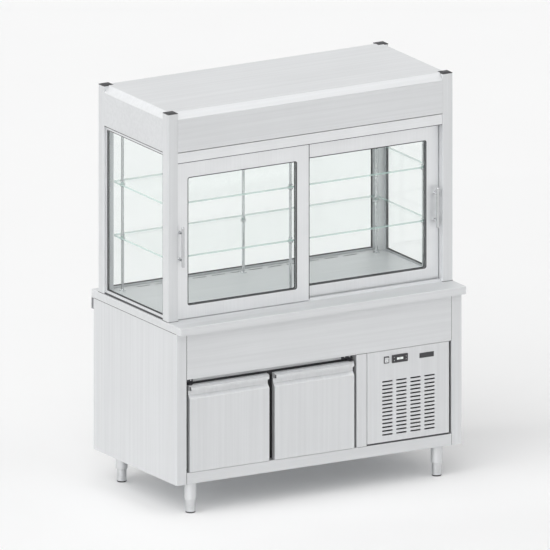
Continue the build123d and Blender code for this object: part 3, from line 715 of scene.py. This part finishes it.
def dress(material, names):
    """Give CAD nodes a material."""
    for name in names:
        slots = nodes[name].data.materials
        slots.clear()
        slots.append(material)


def soften(names):
    """Ease the sharp edges of CAD nodes with live modifiers, and keep their flats flat."""
    for name in names:
        node = nodes[name]
        node.modifiers.new("weld", "WELD").merge_threshold = 0.01 * MM
        planes = node.modifiers.new("planes", "DECIMATE")
        planes.decimate_type = "DISSOLVE"
        planes.angle_limit = math.radians(0.5)
        bevel = node.modifiers.new("eased_edges", "BEVEL")
        bevel.width = sizes().edge_ease
        bevel.segments = 2
        bevel.limit_method = "ANGLE"
        bevel.angle_limit = math.radians(50)
        flats = node.modifiers.new("flats", "WEIGHTED_NORMAL")
        flats.keep_sharp = True


class CounterOperator:
    """What the counter's operators share."""

    bl_options = {"REGISTER", "UNDO"}

    def execute(self, context):
        self.build()
        return {"FINISHED"}


class COUNTER_OT_sheet_metal(CounterOperator, bpy.types.Operator):
    """Steel sheet on the cabinet, the worktop and the case, with the grain along each sheet"""

    bl_idname = "counter.sheet_metal"
    bl_label = "Sheet metal"

    louvre_skin = 0.6

    def build(self):
        dress(brushed_steel("X"), (
            "bottom_rail", "lower_fascia", "worktop", "worktop_rail", "upper_fascias", "roof_panel",
            "display_deck", "ceiling_panel",
        ))
        dress(brushed_steel("Z"), (
            "side_panel_left", "side_panel_right", "rear_panel", "divider_post", "leg_sleeves",
            "door_skin_left", "door_skin_right", "corner_posts",
        ))
        dress(louvred_steel(self.louvre_skin), ("louvre_panel",))
        dress(galvanised_sheet(), ("base_pan", "condensing_tray", "fan_shroud"))
        soften((
            "door_skin_left", "door_skin_right", "roof_panel", "side_panel_left", "side_panel_right",
            "lower_fascia", "bottom_rail", "divider_post", "upper_fascias", "worktop", "corner_posts",
        ))


class COUNTER_OT_case_frames(CounterOperator, bpy.types.Operator):
    """Anodised aluminium on the sliding frames, tracks, channels and coils, and bright bars"""

    bl_idname = "counter.case_frames"
    bl_label = "Case frames"

    def build(self):
        frames = ("sliding_door_left_frame", "sliding_door_right_frame")
        dress(anodised_aluminium("Z"), frames)
        dress(anodised_aluminium("X"), (
            "door_tracks", "glass_channels", "condenser_coil", "cold_box_evaporator",
        ))
        dress(polished_steel(), (
            "sliding_door_left_handle", "sliding_door_right_handle", "shelf_uprights", "wire_shelves",
        ))
        soften(frames)


class COUNTER_OT_fittings(CounterOperator, bpy.types.Operator):
    """Plastic, rubber, paint and copper on the fittings, gaskets, machine, lining, lamp and feet"""

    bl_idname = "counter.fittings"
    bl_label = "Fittings"

    foot_sole = 6

    def build(self):
        dress(black_plastic(), (
            "door_surround", "switch_housing", "controller_housing", "blank_plate", "cable_gland",
            "post_caps", "evaporator_fan", "button_set", "button_defrost", "button_up", "button_down",
        ))
        dress(dark_rubber(), ("door_gasket_left", "door_gasket_right"))
        dress(grey_plastic(), ("rocker_switch", "door_liner_left", "door_liner_right"))
        dress(black_paint(), ("hinge_brackets", "compressor", "condenser_fan"))
        dress(copper_tube(), ("copper_pipes",))
        dress(cold_box_lining(), ("insulated_box",))
        dress(opal_diffuser(), ("lamp",))
        dress(foot_finish(self.foot_sole), [name for name in nodes if name.startswith("foot_")])


class COUNTER_OT_glazing(CounterOperator, bpy.types.Operator):
    """Clear glass in the doors, round the case and on the shelves"""

    bl_idname = "counter.glazing"
    bl_label = "Glazing"

    def build(self):
        dress(clear_glass("Z"), ("fixed_glass", "sliding_door_left_glass", "sliding_door_right_glass"))
        dress(clear_glass("XY"), ("glass_shelves",))


class COUNTER_OT_window_beads(CounterOperator, bpy.types.Operator):
    """Dark glazing beads in both mouths of each sliding door's window"""

    bl_idname = "counter.window_beads"
    bl_label = "Window beads"

    seat = 8 * MM
    corner = 10 * MM
    depth = 3 * MM
    ease = 0.4 * MM

    # A door's beads stand less proud than a fixed pane's, by this factor
    lower = 0.3

    def build(self):
        width, proud = sizes().bead_width, self.lower * sizes().bead_proud
        for side in SIDES:
            pane_low, pane_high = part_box(f"sliding_door_{side}_glass")
            door_low, door_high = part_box(f"sliding_door_{side}_frame")
            x = (pane_low.x + self.seat, pane_high.x - self.seat)
            z = (pane_low.z + self.seat, pane_high.z - self.seat)
            mouths = (
                (door_low.y - proud, door_low.y + self.depth),
                (door_high.y - self.depth, door_high.y + proud),
            )
            beads = []
            for y in mouths:
                bead = flat_frame("bead", (x[0], y[0], z[0]), (x[1], y[1], z[1]), "Y", width, self.corner)
                beads.append(ease_edges(bead, self.ease))
            pair = join(f"window_bead_{side}", beads)
            hand_over(pair, f"sliding_door_{side}", dark_rubber())


class COUNTER_OT_pane_beads(CounterOperator, bpy.types.Operator):
    """Dark seals where the fixed panes enter their channels"""

    bl_idname = "counter.pane_beads"
    bl_label = "Pane beads"

    pane = 6 * MM
    channel = 12 * MM
    sill = 19 * MM
    ease = 0.3 * MM

    def build(self):
        width, proud = sizes().bead_width, sizes().bead_proud
        low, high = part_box("glass_channels")
        glass_low, glass_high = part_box("fixed_glass")
        post_half, post_ends = between_posts()
        half = post_half - self.channel
        front, back = low.y + self.channel, post_ends[1] - self.channel
        z = (low.z + self.sill, high.z - self.channel)
        beads = []
        for outer, sign in ((glass_low.x, 1), (glass_high.x, -1)):
            for face, way in ((outer, -sign), (outer + sign * self.pane, sign)):
                x = sorted((face, face + way * proud))
                beads.append(flat_frame("bead", (x[0], front, z[0]), (x[1], back, z[1]), "X", width))
        for face, way in ((glass_high.y, 1), (glass_high.y - self.pane, -1)):
            y = sorted((face, face + way * proud))
            beads.append(flat_frame("bead", (-half, y[0], z[0]), (half, y[1], z[1]), "Y", width))
        seals = join("pane_seals", [ease_edges(bead, self.ease) for bead in beads])
        hand_over(seals, "cabinet", dark_rubber())


class COUNTER_OT_door_strips(CounterOperator, bpy.types.Operator):
    """The brush between the sliding doors, the gasket on the front door's edge and the header's brush. The
    gasket and the header's brush are partly real strips and partly painted shade for the shadow lines
    along those edges
    """

    bl_idname = "counter.door_strips"
    bl_label = "Door strips"

    header = 44 * MM

    def brush(self, name, low, high, axis, rim, pile):
        """A block whose face that looks back along an axis is inset and drawn out."""
        piece = block(name, low, high)
        start_edit(piece)
        pick_faces(piece, axis, -1)
        bpy.ops.mesh.inset(thickness=rim, depth=0)
        drawn = [0.0, 0.0, 0.0]
        drawn[AXES.index(axis)] = -pile
        bpy.ops.mesh.extrude_region_move(TRANSFORM_OT_translate={"value": drawn})
        return end_edit(piece)

    def meeting_brush(self):
        side, width, base, end_gap = 5 * MM, 10 * MM, 1 * MM, 12 * MM
        low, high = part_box("sliding_door_right_frame")
        foot = (low.x + side, low.y - base, low.z + end_gap)
        head = (low.x + side + width, low.y, high.z - end_gap)
        brush = self.brush("meeting_brush", foot, head, "Y", 3 * MM, 1.2 * MM)
        hand_over(brush, "sliding_door_right", dark_rubber())

    def meeting_gasket(self):
        lap, reach, front_step, back_gap, end_gap = 2 * MM, 1.6 * MM, 0.4 * MM, 2 * MM, 3 * MM
        low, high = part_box("sliding_door_left_frame")
        foot = (high.x - lap, low.y - front_step, low.z + end_gap)
        head = (high.x + reach, high.y - back_gap, high.z - end_gap)
        # Partly a real gasket, partly painted shade: a dark line along the front door's edge where the
        # gap's shadow is faint.
        gasket = block("meeting_gasket", foot, head)
        start_edit(gasket)
        pick_edges(gasket, "Z", lambda end: end.x > high.x)
        bevel_picked(1 * MM, 4)
        hand_over(smooth(end_edit(gasket)), "sliding_door_left", dark_rubber())

    def header_brush(self):
        end_gap, base, y0, y1 = 1 * MM, 2 * MM, 0.2 * MM, 2.4 * MM
        low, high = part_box("door_tracks")
        edge = high.z - self.header
        foot = (low.x + end_gap, low.y + y0, edge - base)
        head = (high.x - end_gap, low.y + y1, edge)
        # Partly a real brush, partly painted shade: a dark line along the header's lower edge.
        brush = self.brush("header_brush", foot, head, "Z", 0.5 * MM, 1 * MM)
        hand_over(brush, "cabinet", dark_rubber())

    def build(self):
        self.meeting_brush()
        self.meeting_gasket()
        self.header_brush()


class COUNTER_OT_display(CounterOperator, bpy.types.Operator):
    """The controller's dark window, its pale field and two plain digits"""

    bl_idname = "counter.display"
    bl_label = "Controller display"

    # The bars of each digit, and each bar's place in half widths and half heights and whether it lies
    digit_bars = {"0": "abcdef", "4": "bcfg"}
    bar_places = {
        "a": (0, 1, True), "g": (0, 0, True), "d": (0, -1, True),
        "f": (-1, 0.5, False), "b": (1, 0.5, False), "e": (-1, -0.5, False), "c": (1, -0.5, False),
    }
    digit_width = 3.0 * MM
    digit_height = 6.0 * MM
    digit_offset = 2.6 * MM
    bar = 0.6 * MM
    bar_rise = 0.1 * MM
    bar_ease = 0.15 * MM
    window = (19.4 * MM, 6.4 * MM)
    window_corner = 1.3 * MM
    window_back = 1.2 * MM
    window_front = 0.5 * MM
    field = (15.5 * MM, 4.9 * MM)
    field_corner = 0.6 * MM
    field_rise = 0.2 * MM

    def digit(self, text, x, front, z):
        """One digit from its bars."""
        wide, tall = self.digit_width, self.digit_height
        bars = []
        for letter in self.digit_bars[text]:
            dx, dz, lies = self.bar_places[letter]
            length = (wide if lies else tall / 2) - self.bar
            size_x, size_z = (length, self.bar) if lies else (self.bar, length)
            centre = Vector((x + dx * wide / 2, front - self.bar_rise / 2, z + dz * tall / 2))
            half = Vector((size_x, self.bar_rise, size_z)) / 2
            bars.append(ease_edges(block("bar", centre - half, centre + half), self.bar_ease, 1))
        return bars

    def pad(self, name, x, z, half, front, back, corner):
        """A thin rounded slab that looks forwards."""
        slab = block(name, (x - half[0], front, z - half[1]), (x + half[0], back, z + half[1]))
        start_edit(slab)
        pick_edges(slab, "Y")
        bevel_picked(corner, 4)
        pick_faces(slab, "Y", -1)
        bevel_picked(0.3 * (back - front), 2)
        return end_edit(slab)

    def build(self):
        low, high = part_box("controller_housing")
        x, z = (low.x + high.x) / 2, (low.z + high.z) / 2
        back, middle = low.y + self.window_back, low.y + self.window_front
        front = middle - self.field_rise
        window = self.pad("display_window", x, z, self.window, middle, back, self.window_corner)
        hand_over(window, "cabinet", smoked_window())
        field = self.pad("display_field", x, z, self.field, front, middle, self.field_corner)
        hand_over(field, "cabinet", display_lens())
        tens = self.digit("0", x - self.digit_offset, front, z)
        ones = self.digit("4", x + self.digit_offset, front, z)
        hand_over(join("display_digits", tens + ones), "cabinet", printed_mark())


class COUNTER_OT_button_marks(CounterOperator, bpy.types.Operator):
    """Arrows, a dot and a bar on the four buttons"""

    bl_idname = "counter.button_marks"
    bl_label = "Button marks"

    arrow_turns = {"button_up": 0.0, "button_down": math.pi}
    arrow_radius = 2.2 * MM
    dot_radius = 1.5 * MM
    bar_half = (2.0 * MM, 0.6 * MM)
    ease = 0.05 * MM

    def build(self):
        rise = sizes().mark_rise
        for name in ("button_set", "button_defrost", "button_up", "button_down"):
            low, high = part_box(name)
            middle = (low + high) / 2
            centre = Vector((middle.x, low.y - rise / 2, middle.z))
            if name in self.arrow_turns:
                mark = drum(f"mark_{name}", (0, 0, 0), self.arrow_radius, rise, "Y", 3)
                mark.rotation_euler = (0, self.arrow_turns[name], 0)
                mark.location = centre
                settle(mark)
            elif name == "button_set":
                mark = drum(f"mark_{name}", centre, self.dot_radius, rise, "Y", 20)
            else:
                half = Vector((self.bar_half[0], rise / 2, self.bar_half[1]))
                mark = block(f"mark_{name}", centre - half, centre + half)
            ease_edges(mark, self.ease, 1)
            hand_over(mark, f"{name}_cap", white_mark())


class COUNTER_OT_rocker_marks(CounterOperator, bpy.types.Operator):
    """The I and the O on the two faces of the rocker"""

    bl_idname = "counter.rocker_marks"
    bl_label = "Rocker marks"

    rest_tilt = math.radians(12)
    face_tilt = math.radians(17)
    face_middle = Vector((0, -4.5 * MM, 4.9 * MM))
    bar_half = (0.55 * MM, 2.2 * MM)
    ring_radius = 2.1 * MM
    ring_width = 0.9 * MM
    sunk = 0.1 * MM

    def build(self):
        rise = sizes().mark_rise
        axis = next(Vector(j["pos_m"]) for j in frame["joints"] if j["child"] == "rocker")
        half_x, half_z = self.bar_half
        bar = block("mark_on", (-half_x, -rise, -half_z), (half_x, self.sunk, half_z))
        centre = (0, (self.sunk - rise) / 2, 0)
        ring = drum("mark_off", centre, self.ring_radius, rise + self.sunk, "Y", 28)
        start_edit(ring)
        bore(ring, "Y", self.ring_width)
        for mark, up in ((bar, 1), (ring, -1)):
            middle = Vector((0, self.face_middle.y, up * self.face_middle.z))
            slope = Matrix.Rotation(self.rest_tilt, 4, "X")
            turn = Matrix.Rotation(up * self.face_tilt, 4, "X")
            mark.data.transform(Matrix.Translation(axis) @ slope @ Matrix.Translation(middle) @ turn)
            hand_over(mark, "rocker", printed_mark())


class COUNTER_OT_lamp_ends(CounterOperator, bpy.types.Operator):
    """The black end caps of the lamp"""

    bl_idname = "counter.lamp_ends"
    bl_label = "Lamp ends"

    length = 6 * MM
    lap = 1 * MM
    corner = 8 * MM
    ease = 0.5 * MM

    def build(self):
        low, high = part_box("lamp")
        caps = []
        for x in (low.x - self.length, high.x):
            foot = (x, low.y - self.lap, low.z - self.lap)
            cap = block("cap", foot, (x + self.length, high.y + self.lap, high.z))
            start_edit(cap)
            pick_edges(cap, "X", lambda end: end.z < high.z - self.lap)
            bevel_picked(self.corner, 5)
            caps.append(ease_edges(end_edit(cap), self.ease))
        hand_over(join("lamp_end_caps", caps), "cabinet", black_plastic())


class COUNTER_OT_shelf_rings(CounterOperator, bpy.types.Operator):
    """Bright rings that hold the glass shelves down on the uprights' collars"""

    bl_idname = "counter.shelf_rings"
    bl_label = "Shelf rings"

    uprights_x = (-622 * MM, -30 * MM, 622 * MM)
    uprights_y = (-150 * MM, 250 * MM)
    levels = (1085 * MM, 1320 * MM)
    glass = 8 * MM
    upright = 6 * MM

    def build(self):
        section = sizes().ring_section
        places = [(x, y, z) for x in self.uprights_x for y in self.uprights_y for z in self.levels]
        top = (0, 0, self.glass + section)
        ring = smooth(loop_ring("ring", top, self.upright + section, section, "Z", 24, 8))
        rings = repeat("shelf_retaining_rings", ring, places)
        hand_over(rings, "cabinet", polished_steel())


class COUNTER_OT_fan_guard(CounterOperator, bpy.types.Operator):
    """The wire guard in front of the evaporator's fan"""

    bl_idname = "counter.fan_guard"
    bl_label = "Fan guard"

    ring_radii = (18 * MM, 33 * MM, 48 * MM, 63 * MM)
    spokes = 6

    def build(self):
        wire = sizes().guard_wire
        low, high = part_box("evaporator_fan")
        housing_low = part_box("cold_box_evaporator")[0]
        centre = Vector(((low.x + high.x) / 2, housing_low.y - wire, (low.z + high.z) / 2))
        wires = [loop_ring("ring", centre, radius, wire, "Y", 36, 6) for radius in self.ring_radii]
        inner, outer = self.ring_radii[0], self.ring_radii[-1]
        spoke = drum("spoke", ((inner + outer) / 2, 0, 0), wire, outer - inner, "X", 6)
        for index in range(self.spokes):
            turned = copy_piece(spoke, "spoke", (0, 0, 0))
            turned.data.transform(Matrix.Rotation(2 * math.pi * index / self.spokes, 4, "Y"))
            turned.data.transform(Matrix.Translation(centre + Vector((0, -wire, 0))))
            wires.append(turned)
        bpy.data.objects.remove(spoke)
        guard = smooth(join("evaporator_fan_guard", wires))
        hand_over(guard, "cabinet", polished_steel())


class COUNTER_OT_coil_fins(CounterOperator, bpy.types.Operator):
    """The thin fins on the front of the condenser coil"""

    bl_idname = "counter.coil_fins"
    bl_label = "Condenser fins"

    stand_off = 2.5 * MM
    plate = 2 * MM
    end_gap = 10 * MM
    thickness = 0.3 * MM
    rim = 0.08 * MM

    def build(self):
        low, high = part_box("condenser_coil")
        right = high.x - self.plate
        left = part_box("fan_shroud")[0].x + self.plate
        pitch = sizes().fin_pitch
        count = int((right - left) / pitch) - 1
        foot = (0, low.y - self.stand_off, low.z + self.end_gap)
        fin = block("fin", foot, (self.thickness, low.y, high.z - self.end_gap))
        start_edit(fin)
        pick_faces(fin, "Y", -1)
        bpy.ops.mesh.inset(thickness=self.rim, depth=0)
        end_edit(fin)
        offsets = [(left + pitch * (index + 1), 0, 0) for index in range(count)]
        hand_over(repeat("condenser_fins", fin, offsets), "cabinet", anodised_aluminium("Z"))


class COUNTER_OT_panel_screws(CounterOperator, bpy.types.Operator):
    """Screw heads along the rear panel's edges and on the hinge brackets"""

    bl_idname = "counter.panel_screws"
    bl_label = "Panel screws"

    edge = 9 * MM
    top_row = 62 * MM
    columns = 5
    rows = 3
    flange_stand = 7 * MM
    flange_middle = 10 * MM
    flange_screws = (15 * MM, 39 * MM)

    def rear_panel_places(self):
        """Five screws along the foot and along the top row, and two between them at each side."""
        low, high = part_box("rear_panel")
        left, right = low.x + self.edge, high.x - self.edge
        foot, head = low.z + self.edge, high.z - self.top_row
        places = []
        for column in range(self.columns):
            x = left + (right - left) * column / (self.columns - 1)
            places += [(x, high.y, foot), (x, high.y, head)]
        for row in range(1, self.rows):
            z = low.z + (head - low.z) * row / self.rows
            places += [(left, high.y, z), (right, high.y, z)]
        return places

    def bracket_places(self):
        """Two screws in the flange of each bracket."""
        low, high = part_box("hinge_brackets")
        y, z = high.y - self.flange_stand, high.z - self.flange_middle
        places = []
        for end, way in ((low.x, 1), (high.x, -1)):
            places += [(end + way * inset, y, z) for inset in self.flange_screws]
        return places

    def build(self):
        for name, direction, places in (
            ("rear_panel_screws", 1, self.rear_panel_places()),
            ("hinge_bracket_screws", -1, self.bracket_places()),
        ):
            heads = repeat(name, screw_head(direction), places)
            hand_over(heads, "cabinet", polished_steel())


class COUNTER_OT_head_strip(CounterOperator, bpy.types.Operator):
    """A steel cover strip above the doors, between the hinge brackets"""

    bl_idname = "counter.head_strip"
    bl_label = "Head strip"

    thickness = 1.5 * MM
    bracket = 52 * MM
    height = 22.5 * MM
    gap = 0.2 * MM
    bend = 1 * MM

    def build(self):
        low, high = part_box("hinge_brackets")
        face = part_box("door_surround")[0].y
        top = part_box("lower_fascia")[0].z - self.gap
        foot = (low.x + self.bracket, face - self.thickness, top - self.height)
        strip = block("head_strip", foot, (high.x - self.bracket, face, top))
        start_edit(strip)
        pick_faces(strip, "Y", -1)
        bevel_picked(self.bend, 3)
        hand_over(end_edit(strip), "cabinet", brushed_steel("X"))


class COUNTER_OT_post_seals(CounterOperator, bpy.types.Operator):
    """Thin seals where the four posts stand on the worktop"""

    bl_idname = "counter.post_seals"
    bl_label = "Post seals"

    seal = 1.6 * MM
    lap = 0.3 * MM
    corner = 2 * MM
    ease = 0.6 * MM

    def build(self):
        low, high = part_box("corner_posts")
        grow = Vector((self.seal, self.seal, 0))
        foot = Vector((POST, POST, self.seal))
        seals = []
        for x in (low.x, high.x - POST):
            for y in (low.y, high.y - POST):
                corner = Vector((x, y, low.z))
                ring = flat_frame(
                    "seal", corner - grow, corner + foot + grow, "Z", self.seal + self.lap, self.corner
                )
                seals.append(ease_edges(ring, self.ease))
        hand_over(join("post_seals", seals), "cabinet", dark_rubber())


class COUNTER_OT_joint_seals(CounterOperator, bpy.types.Operator):
    """Dark seals below the worktop's ends, above and below the channels and below the louvred panel. Their
    dark colour is partly real seal and partly painted shade standing in for the shadow lines in these gaps
    """

    bl_idname = "counter.joint_seals"
    bl_label = "Joint seals"

    # A strip's outer face is inset by a share of its width and drawn out by a share of its depth
    rim = 0.25
    swell = 0.3

    # The worktop's folded edge, and the strip under it: its height, its ends, and how deep it sits
    worktop_fold = 34 * MM
    end_seal = 2.4 * MM
    end_gap = 3 * MM
    end_lap = 0.2 * MM
    end_set_back = 0.4 * MM

    # The height of the strips below and above the channels, and how far they stand proud
    foot_seal = (8 * MM, 1.2 * MM)
    head_seal = (3.2 * MM, 3.6 * MM)

    # Where the strip below the louvred panel starts and ends behind the panel's face
    louvre_seal = (2 * MM, 8 * MM)
    louvre_gap = 0.5 * MM

    def strip(self, low, high, axis, sign):
        """A strip whose outer face swells a little."""
        piece = block("seal", low, high)
        start_edit(piece)
        pick_faces(piece, axis, sign)
        index = AXES.index(axis)
        extent = [end - start for start, end in zip(low, high)]
        drawn = [0.0, 0.0, 0.0]
        drawn[index] = self.swell * sign * extent.pop(index)
        bpy.ops.mesh.inset(thickness=self.rim * min(extent), depth=0)
        bpy.ops.transform.translate(value=drawn)
        return end_edit(piece)

    def worktop_ends(self):
        """A dark strip under each end of the worktop, above the side panel, partly a seal and partly
        painted shade for the shadow line under the worktop's overhang.
        """
        side_low, side_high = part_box("side_panel_left")
        top_low, top_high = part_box("worktop")
        edge = top_high.z - self.worktop_fold
        y = (side_low.y + self.end_gap, side_high.y - self.end_gap)
        strips = []
        for sign in (-1, 1):
            inner, outer = abs(side_low.x) - self.end_lap, abs(top_low.x) - self.end_set_back
            x = sorted((sign * inner, sign * outer))
            strips.append(self.strip((x[0], y[0], edge - self.end_seal), (x[1], y[1], edge), "X", sign))
        return strips

    def channel_edges(self):
        """Strips above and below the channels, on both sides and on the back of the case. The dark strip
        under the fascias is painted shade for the shadow line at the fascias' lower edge; the one at the
        channels' foot is partly a seal and partly painted shade.
        """
        half, y = between_posts()
        channel_low, channel_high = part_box("glass_channels")
        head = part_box("upper_fascias")[0].z
        strips = []
        for z0, z1, proud in (
            (channel_low.z, channel_low.z + self.foot_seal[0], self.foot_seal[1]),
            (head - self.head_seal[0], head, self.head_seal[1]),
        ):
            for sign in (-1, 1):
                x = sorted((sign * channel_high.x, sign * (channel_high.x + proud)))
                strips.append(self.strip((x[0], y[0], z0), (x[1], y[1], z1), "X", sign))
            back = channel_high.y
            strips.append(self.strip((-half, back, z0), (half, back + proud, z1), "Y", 1))
        return strips

    def louvre_foot(self):
        """The strip between the louvred panel and the bottom rail, whose dark colour is painted shade in
        the gap under the panel.
        """
        low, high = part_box("louvre_panel")
        rail_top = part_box("bottom_rail")[1].z
        y = [low.y + depth for depth in self.louvre_seal]
        return self.strip((low.x, y[0], rail_top), (high.x, y[1], low.z - self.louvre_gap), "Y", -1)

    def build(self):
        strips = [*self.worktop_ends(), *self.channel_edges(), self.louvre_foot()]
        # Dark rubber: partly real seals, partly painted shade in the gaps.
        hand_over(join("joint_seals", strips), "cabinet", dark_rubber())


class COUNTER_OT_seam_sealant(CounterOperator, bpy.types.Operator):
    """Thin lines of dark sealant in the seams of the cabinet's front, partly real sealant and partly
    painted shade that darkens the seams into lines
    """

    bl_idname = "counter.seam_sealant"
    bl_label = "Seam sealant"

    width = 1.5 * MM
    proud = 0.15 * MM
    depth = 0.5 * MM

    def build(self):
        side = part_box("side_panel_left")[1].x
        rail_low, rail_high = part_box("bottom_rail")
        fascia_low, fascia_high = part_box("lower_fascia")
        divider_low, divider_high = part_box("divider_post")
        half = self.width / 2
        spans = []
        for x in (side, -side):
            for low, high in ((rail_low, rail_high), (fascia_low, fascia_high)):
                spans.append(((x - half, low.z), (x + half, high.z)))
        for z in (fascia_low.z, rail_high.z):
            spans.append(((divider_low.x, z - half), (divider_high.x, z + half)))
        front = rail_low.y
        lines = []
        for (x0, z0), (x1, z1) in spans:
            line = block("line", (x0, front - self.proud, z0), (x1, front + self.depth, z1))
            lines.append(ease_edges(line, self.proud))
        # Dark rubber in the seams: partly sealant, partly painted shade.
        hand_over(join("seam_sealant", lines), "cabinet", dark_rubber())


class COUNTER_OT_drain_cover(CounterOperator, bpy.types.Operator):
    """The small cover over the cold box's drain"""

    bl_idname = "counter.drain_cover"
    bl_label = "Drain cover"

    centre = Vector((-230 * MM, 20 * MM, 189 * MM))
    radius = 16 * MM
    height = 4 * MM
    land = 4 * MM
    wall = 1 * MM
    groove = 1.5 * MM
    ease = 0.3 * MM

    def build(self):
        lift = Vector((0, 0, self.height / 2))
        cover = drum("drain_cover", self.centre + lift, self.radius, self.height, "Z", 32)
        start_edit(cover)
        pick_faces(cover, "Z", 1)
        for depth in (-self.groove, self.groove):
            bpy.ops.mesh.inset(thickness=self.land, depth=0)
            bpy.ops.mesh.inset(thickness=self.wall, depth=depth)
        end_edit(cover)
        ease_edges(cover, self.ease)
        hand_over(smooth(cover), "cabinet", grey_plastic())


class COUNTER_OT_stage(CounterOperator, bpy.types.Operator):
    """Pale floor, soft studio light, white surroundings and the camera"""

    bl_idname = "counter.stage"
    bl_label = "Stage"

    # Each lamp's direction, the angle that it fills and its strength
    lights = {
        "key_light": ((-0.74, -0.36, 0.57), 76, 2.1),
        "fill_light": ((0.60, -0.30, 0.74), 60, 0.4),
        "rear_light": ((-0.30, 0.80, 0.52), 60, 0.3),
    }
    lamp_distance = 6
    ambient = 0.45
    floor_glow = 0.06
    camera_distance = 8
    camera_reach = 500

    def seen_directly(self, shader):
        """1 for rays from the camera and those that metal and glass send on, else 0."""
        path = shader.node("ShaderNodeLightPath")
        clear = path["Is Camera Ray"] + path["Is Transmission Ray"] + path["Is Glossy Ray"]
        return shader.node("ShaderNodeMath", {"operation": "MINIMUM"}, {0: clear, 1: 1.0})["Value"]

    def floor(self, settings):
        deselect()
        bpy.ops.mesh.primitive_plane_add(size=settings.floor_size)
        floor = bpy.context.object
        floor.name = "floor"
        shader = Shader(bpy.data.materials.new("pale_floor"))
        place = shader.place()
        cloud = shader.noise(place, 1.4, 3)
        base = shader.blend(cloud, shade(settings.floor, 0.985), shade(settings.floor, 1.015))
        matt = shader.surface(Base_Color=base, Roughness=0.9, Specular_IOR_Level=0.1)
        strength = self.floor_glow * self.seen_directly(shader)
        glow = shader.node("ShaderNodeEmission", inputs={"Strength": strength})["Emission"]
        both = shader.node("ShaderNodeAddShader", inputs={0: matt, 1: glow})["Shader"]
        floor.data.materials.append(shader.finish(both))

    def world(self):
        world = bpy.data.worlds.new("studio")
        bpy.context.scene.world = world
        shader = Shader(world)
        direct = self.seen_directly(shader)
        strength = self.ambient + (1 - self.ambient) * direct
        background = shader.node("ShaderNodeBackground", inputs={"Color": (1, 1, 1), "Strength": strength})
        shader.node("ShaderNodeOutputWorld", inputs={"Surface": background["Background"]})

    def lamps(self):
        for name, (way, spread, power) in self.lights.items():
            bpy.ops.object.light_add(type="SUN", location=self.lamp_distance * Vector(way))
            lamp = bpy.context.object
            lamp.name = name
            lamp.rotation_euler = Vector(way).to_track_quat("Z", "Y").to_euler()
            lamp.data.angle = math.radians(spread)
            lamp.data.energy = power

    def camera(self, settings):
        turn, rise = settings.azimuth, settings.elevation
        back = Vector((math.sin(turn) * math.cos(rise), -math.cos(turn) * math.cos(rise), math.sin(rise)))
        bpy.ops.object.camera_add(location=Vector(settings.aim) + self.camera_distance * back)
        camera = bpy.context.object
        camera.name = "camera"
        camera.rotation_euler = back.to_track_quat("Z", "Y").to_euler()
        camera.data.type = "ORTHO"
        camera.data.ortho_scale = settings.view_width
        camera.data.clip_end = self.camera_reach
        bpy.context.scene.camera = camera

    def build(self):
        settings = bpy.context.scene.counter_stage
        self.floor(settings)
        self.world()
        self.lamps()
        self.camera(settings)
        bpy.context.scene.view_settings.view_transform = "Standard"


class COUNTER_PT_panel(bpy.types.Panel):
    """The counter's settings and steps in the sidebar."""

    bl_idname = "COUNTER_PT_panel"
    bl_label = "Refrigerated counter"
    bl_space_type = "VIEW_3D"
    bl_region_type = "UI"
    bl_category = "Counter"

    def draw(self, context):
        for group in SETTINGS:
            box = self.layout.box()
            settings = getattr(context.scene, group)
            for name in SETTINGS[group].__annotations__:
                box.prop(settings, name)
        for step in STEPS:
            self.layout.operator(step.bl_idname)


SETTINGS = {
    "counter_sizes": CounterSizes,
    "counter_finishes": CounterFinishes,
    "counter_stage": CounterStage,
}

STEPS = (
    COUNTER_OT_sheet_metal,
    COUNTER_OT_case_frames,
    COUNTER_OT_fittings,
    COUNTER_OT_glazing,
    COUNTER_OT_window_beads,
    COUNTER_OT_pane_beads,
    COUNTER_OT_door_strips,
    COUNTER_OT_display,
    COUNTER_OT_button_marks,
    COUNTER_OT_rocker_marks,
    COUNTER_OT_lamp_ends,
    COUNTER_OT_shelf_rings,
    COUNTER_OT_fan_guard,
    COUNTER_OT_coil_fins,
    COUNTER_OT_panel_screws,
    COUNTER_OT_head_strip,
    COUNTER_OT_post_seals,
    COUNTER_OT_joint_seals,
    COUNTER_OT_seam_sealant,
    COUNTER_OT_drain_cover,
    COUNTER_OT_stage,
)


def register():
    for group in SETTINGS.values():
        bpy.utils.register_class(group)
    for name, group in SETTINGS.items():
        setattr(bpy.types.Scene, name, PointerProperty(type=group))
    for step in STEPS:
        bpy.utils.register_class(step)
    bpy.utils.register_class(COUNTER_PT_panel)


def unregister():
    bpy.utils.unregister_class(COUNTER_PT_panel)
    for step in reversed(STEPS):
        bpy.utils.unregister_class(step)
    for name, group in reversed(SETTINGS.items()):
        delattr(bpy.types.Scene, name)
        bpy.utils.unregister_class(group)


def main():
    register()
    for step in STEPS:
        family, name = step.bl_idname.split(".")
        getattr(getattr(bpy.ops, family), name)()


if __name__ == "__main__":
    main()
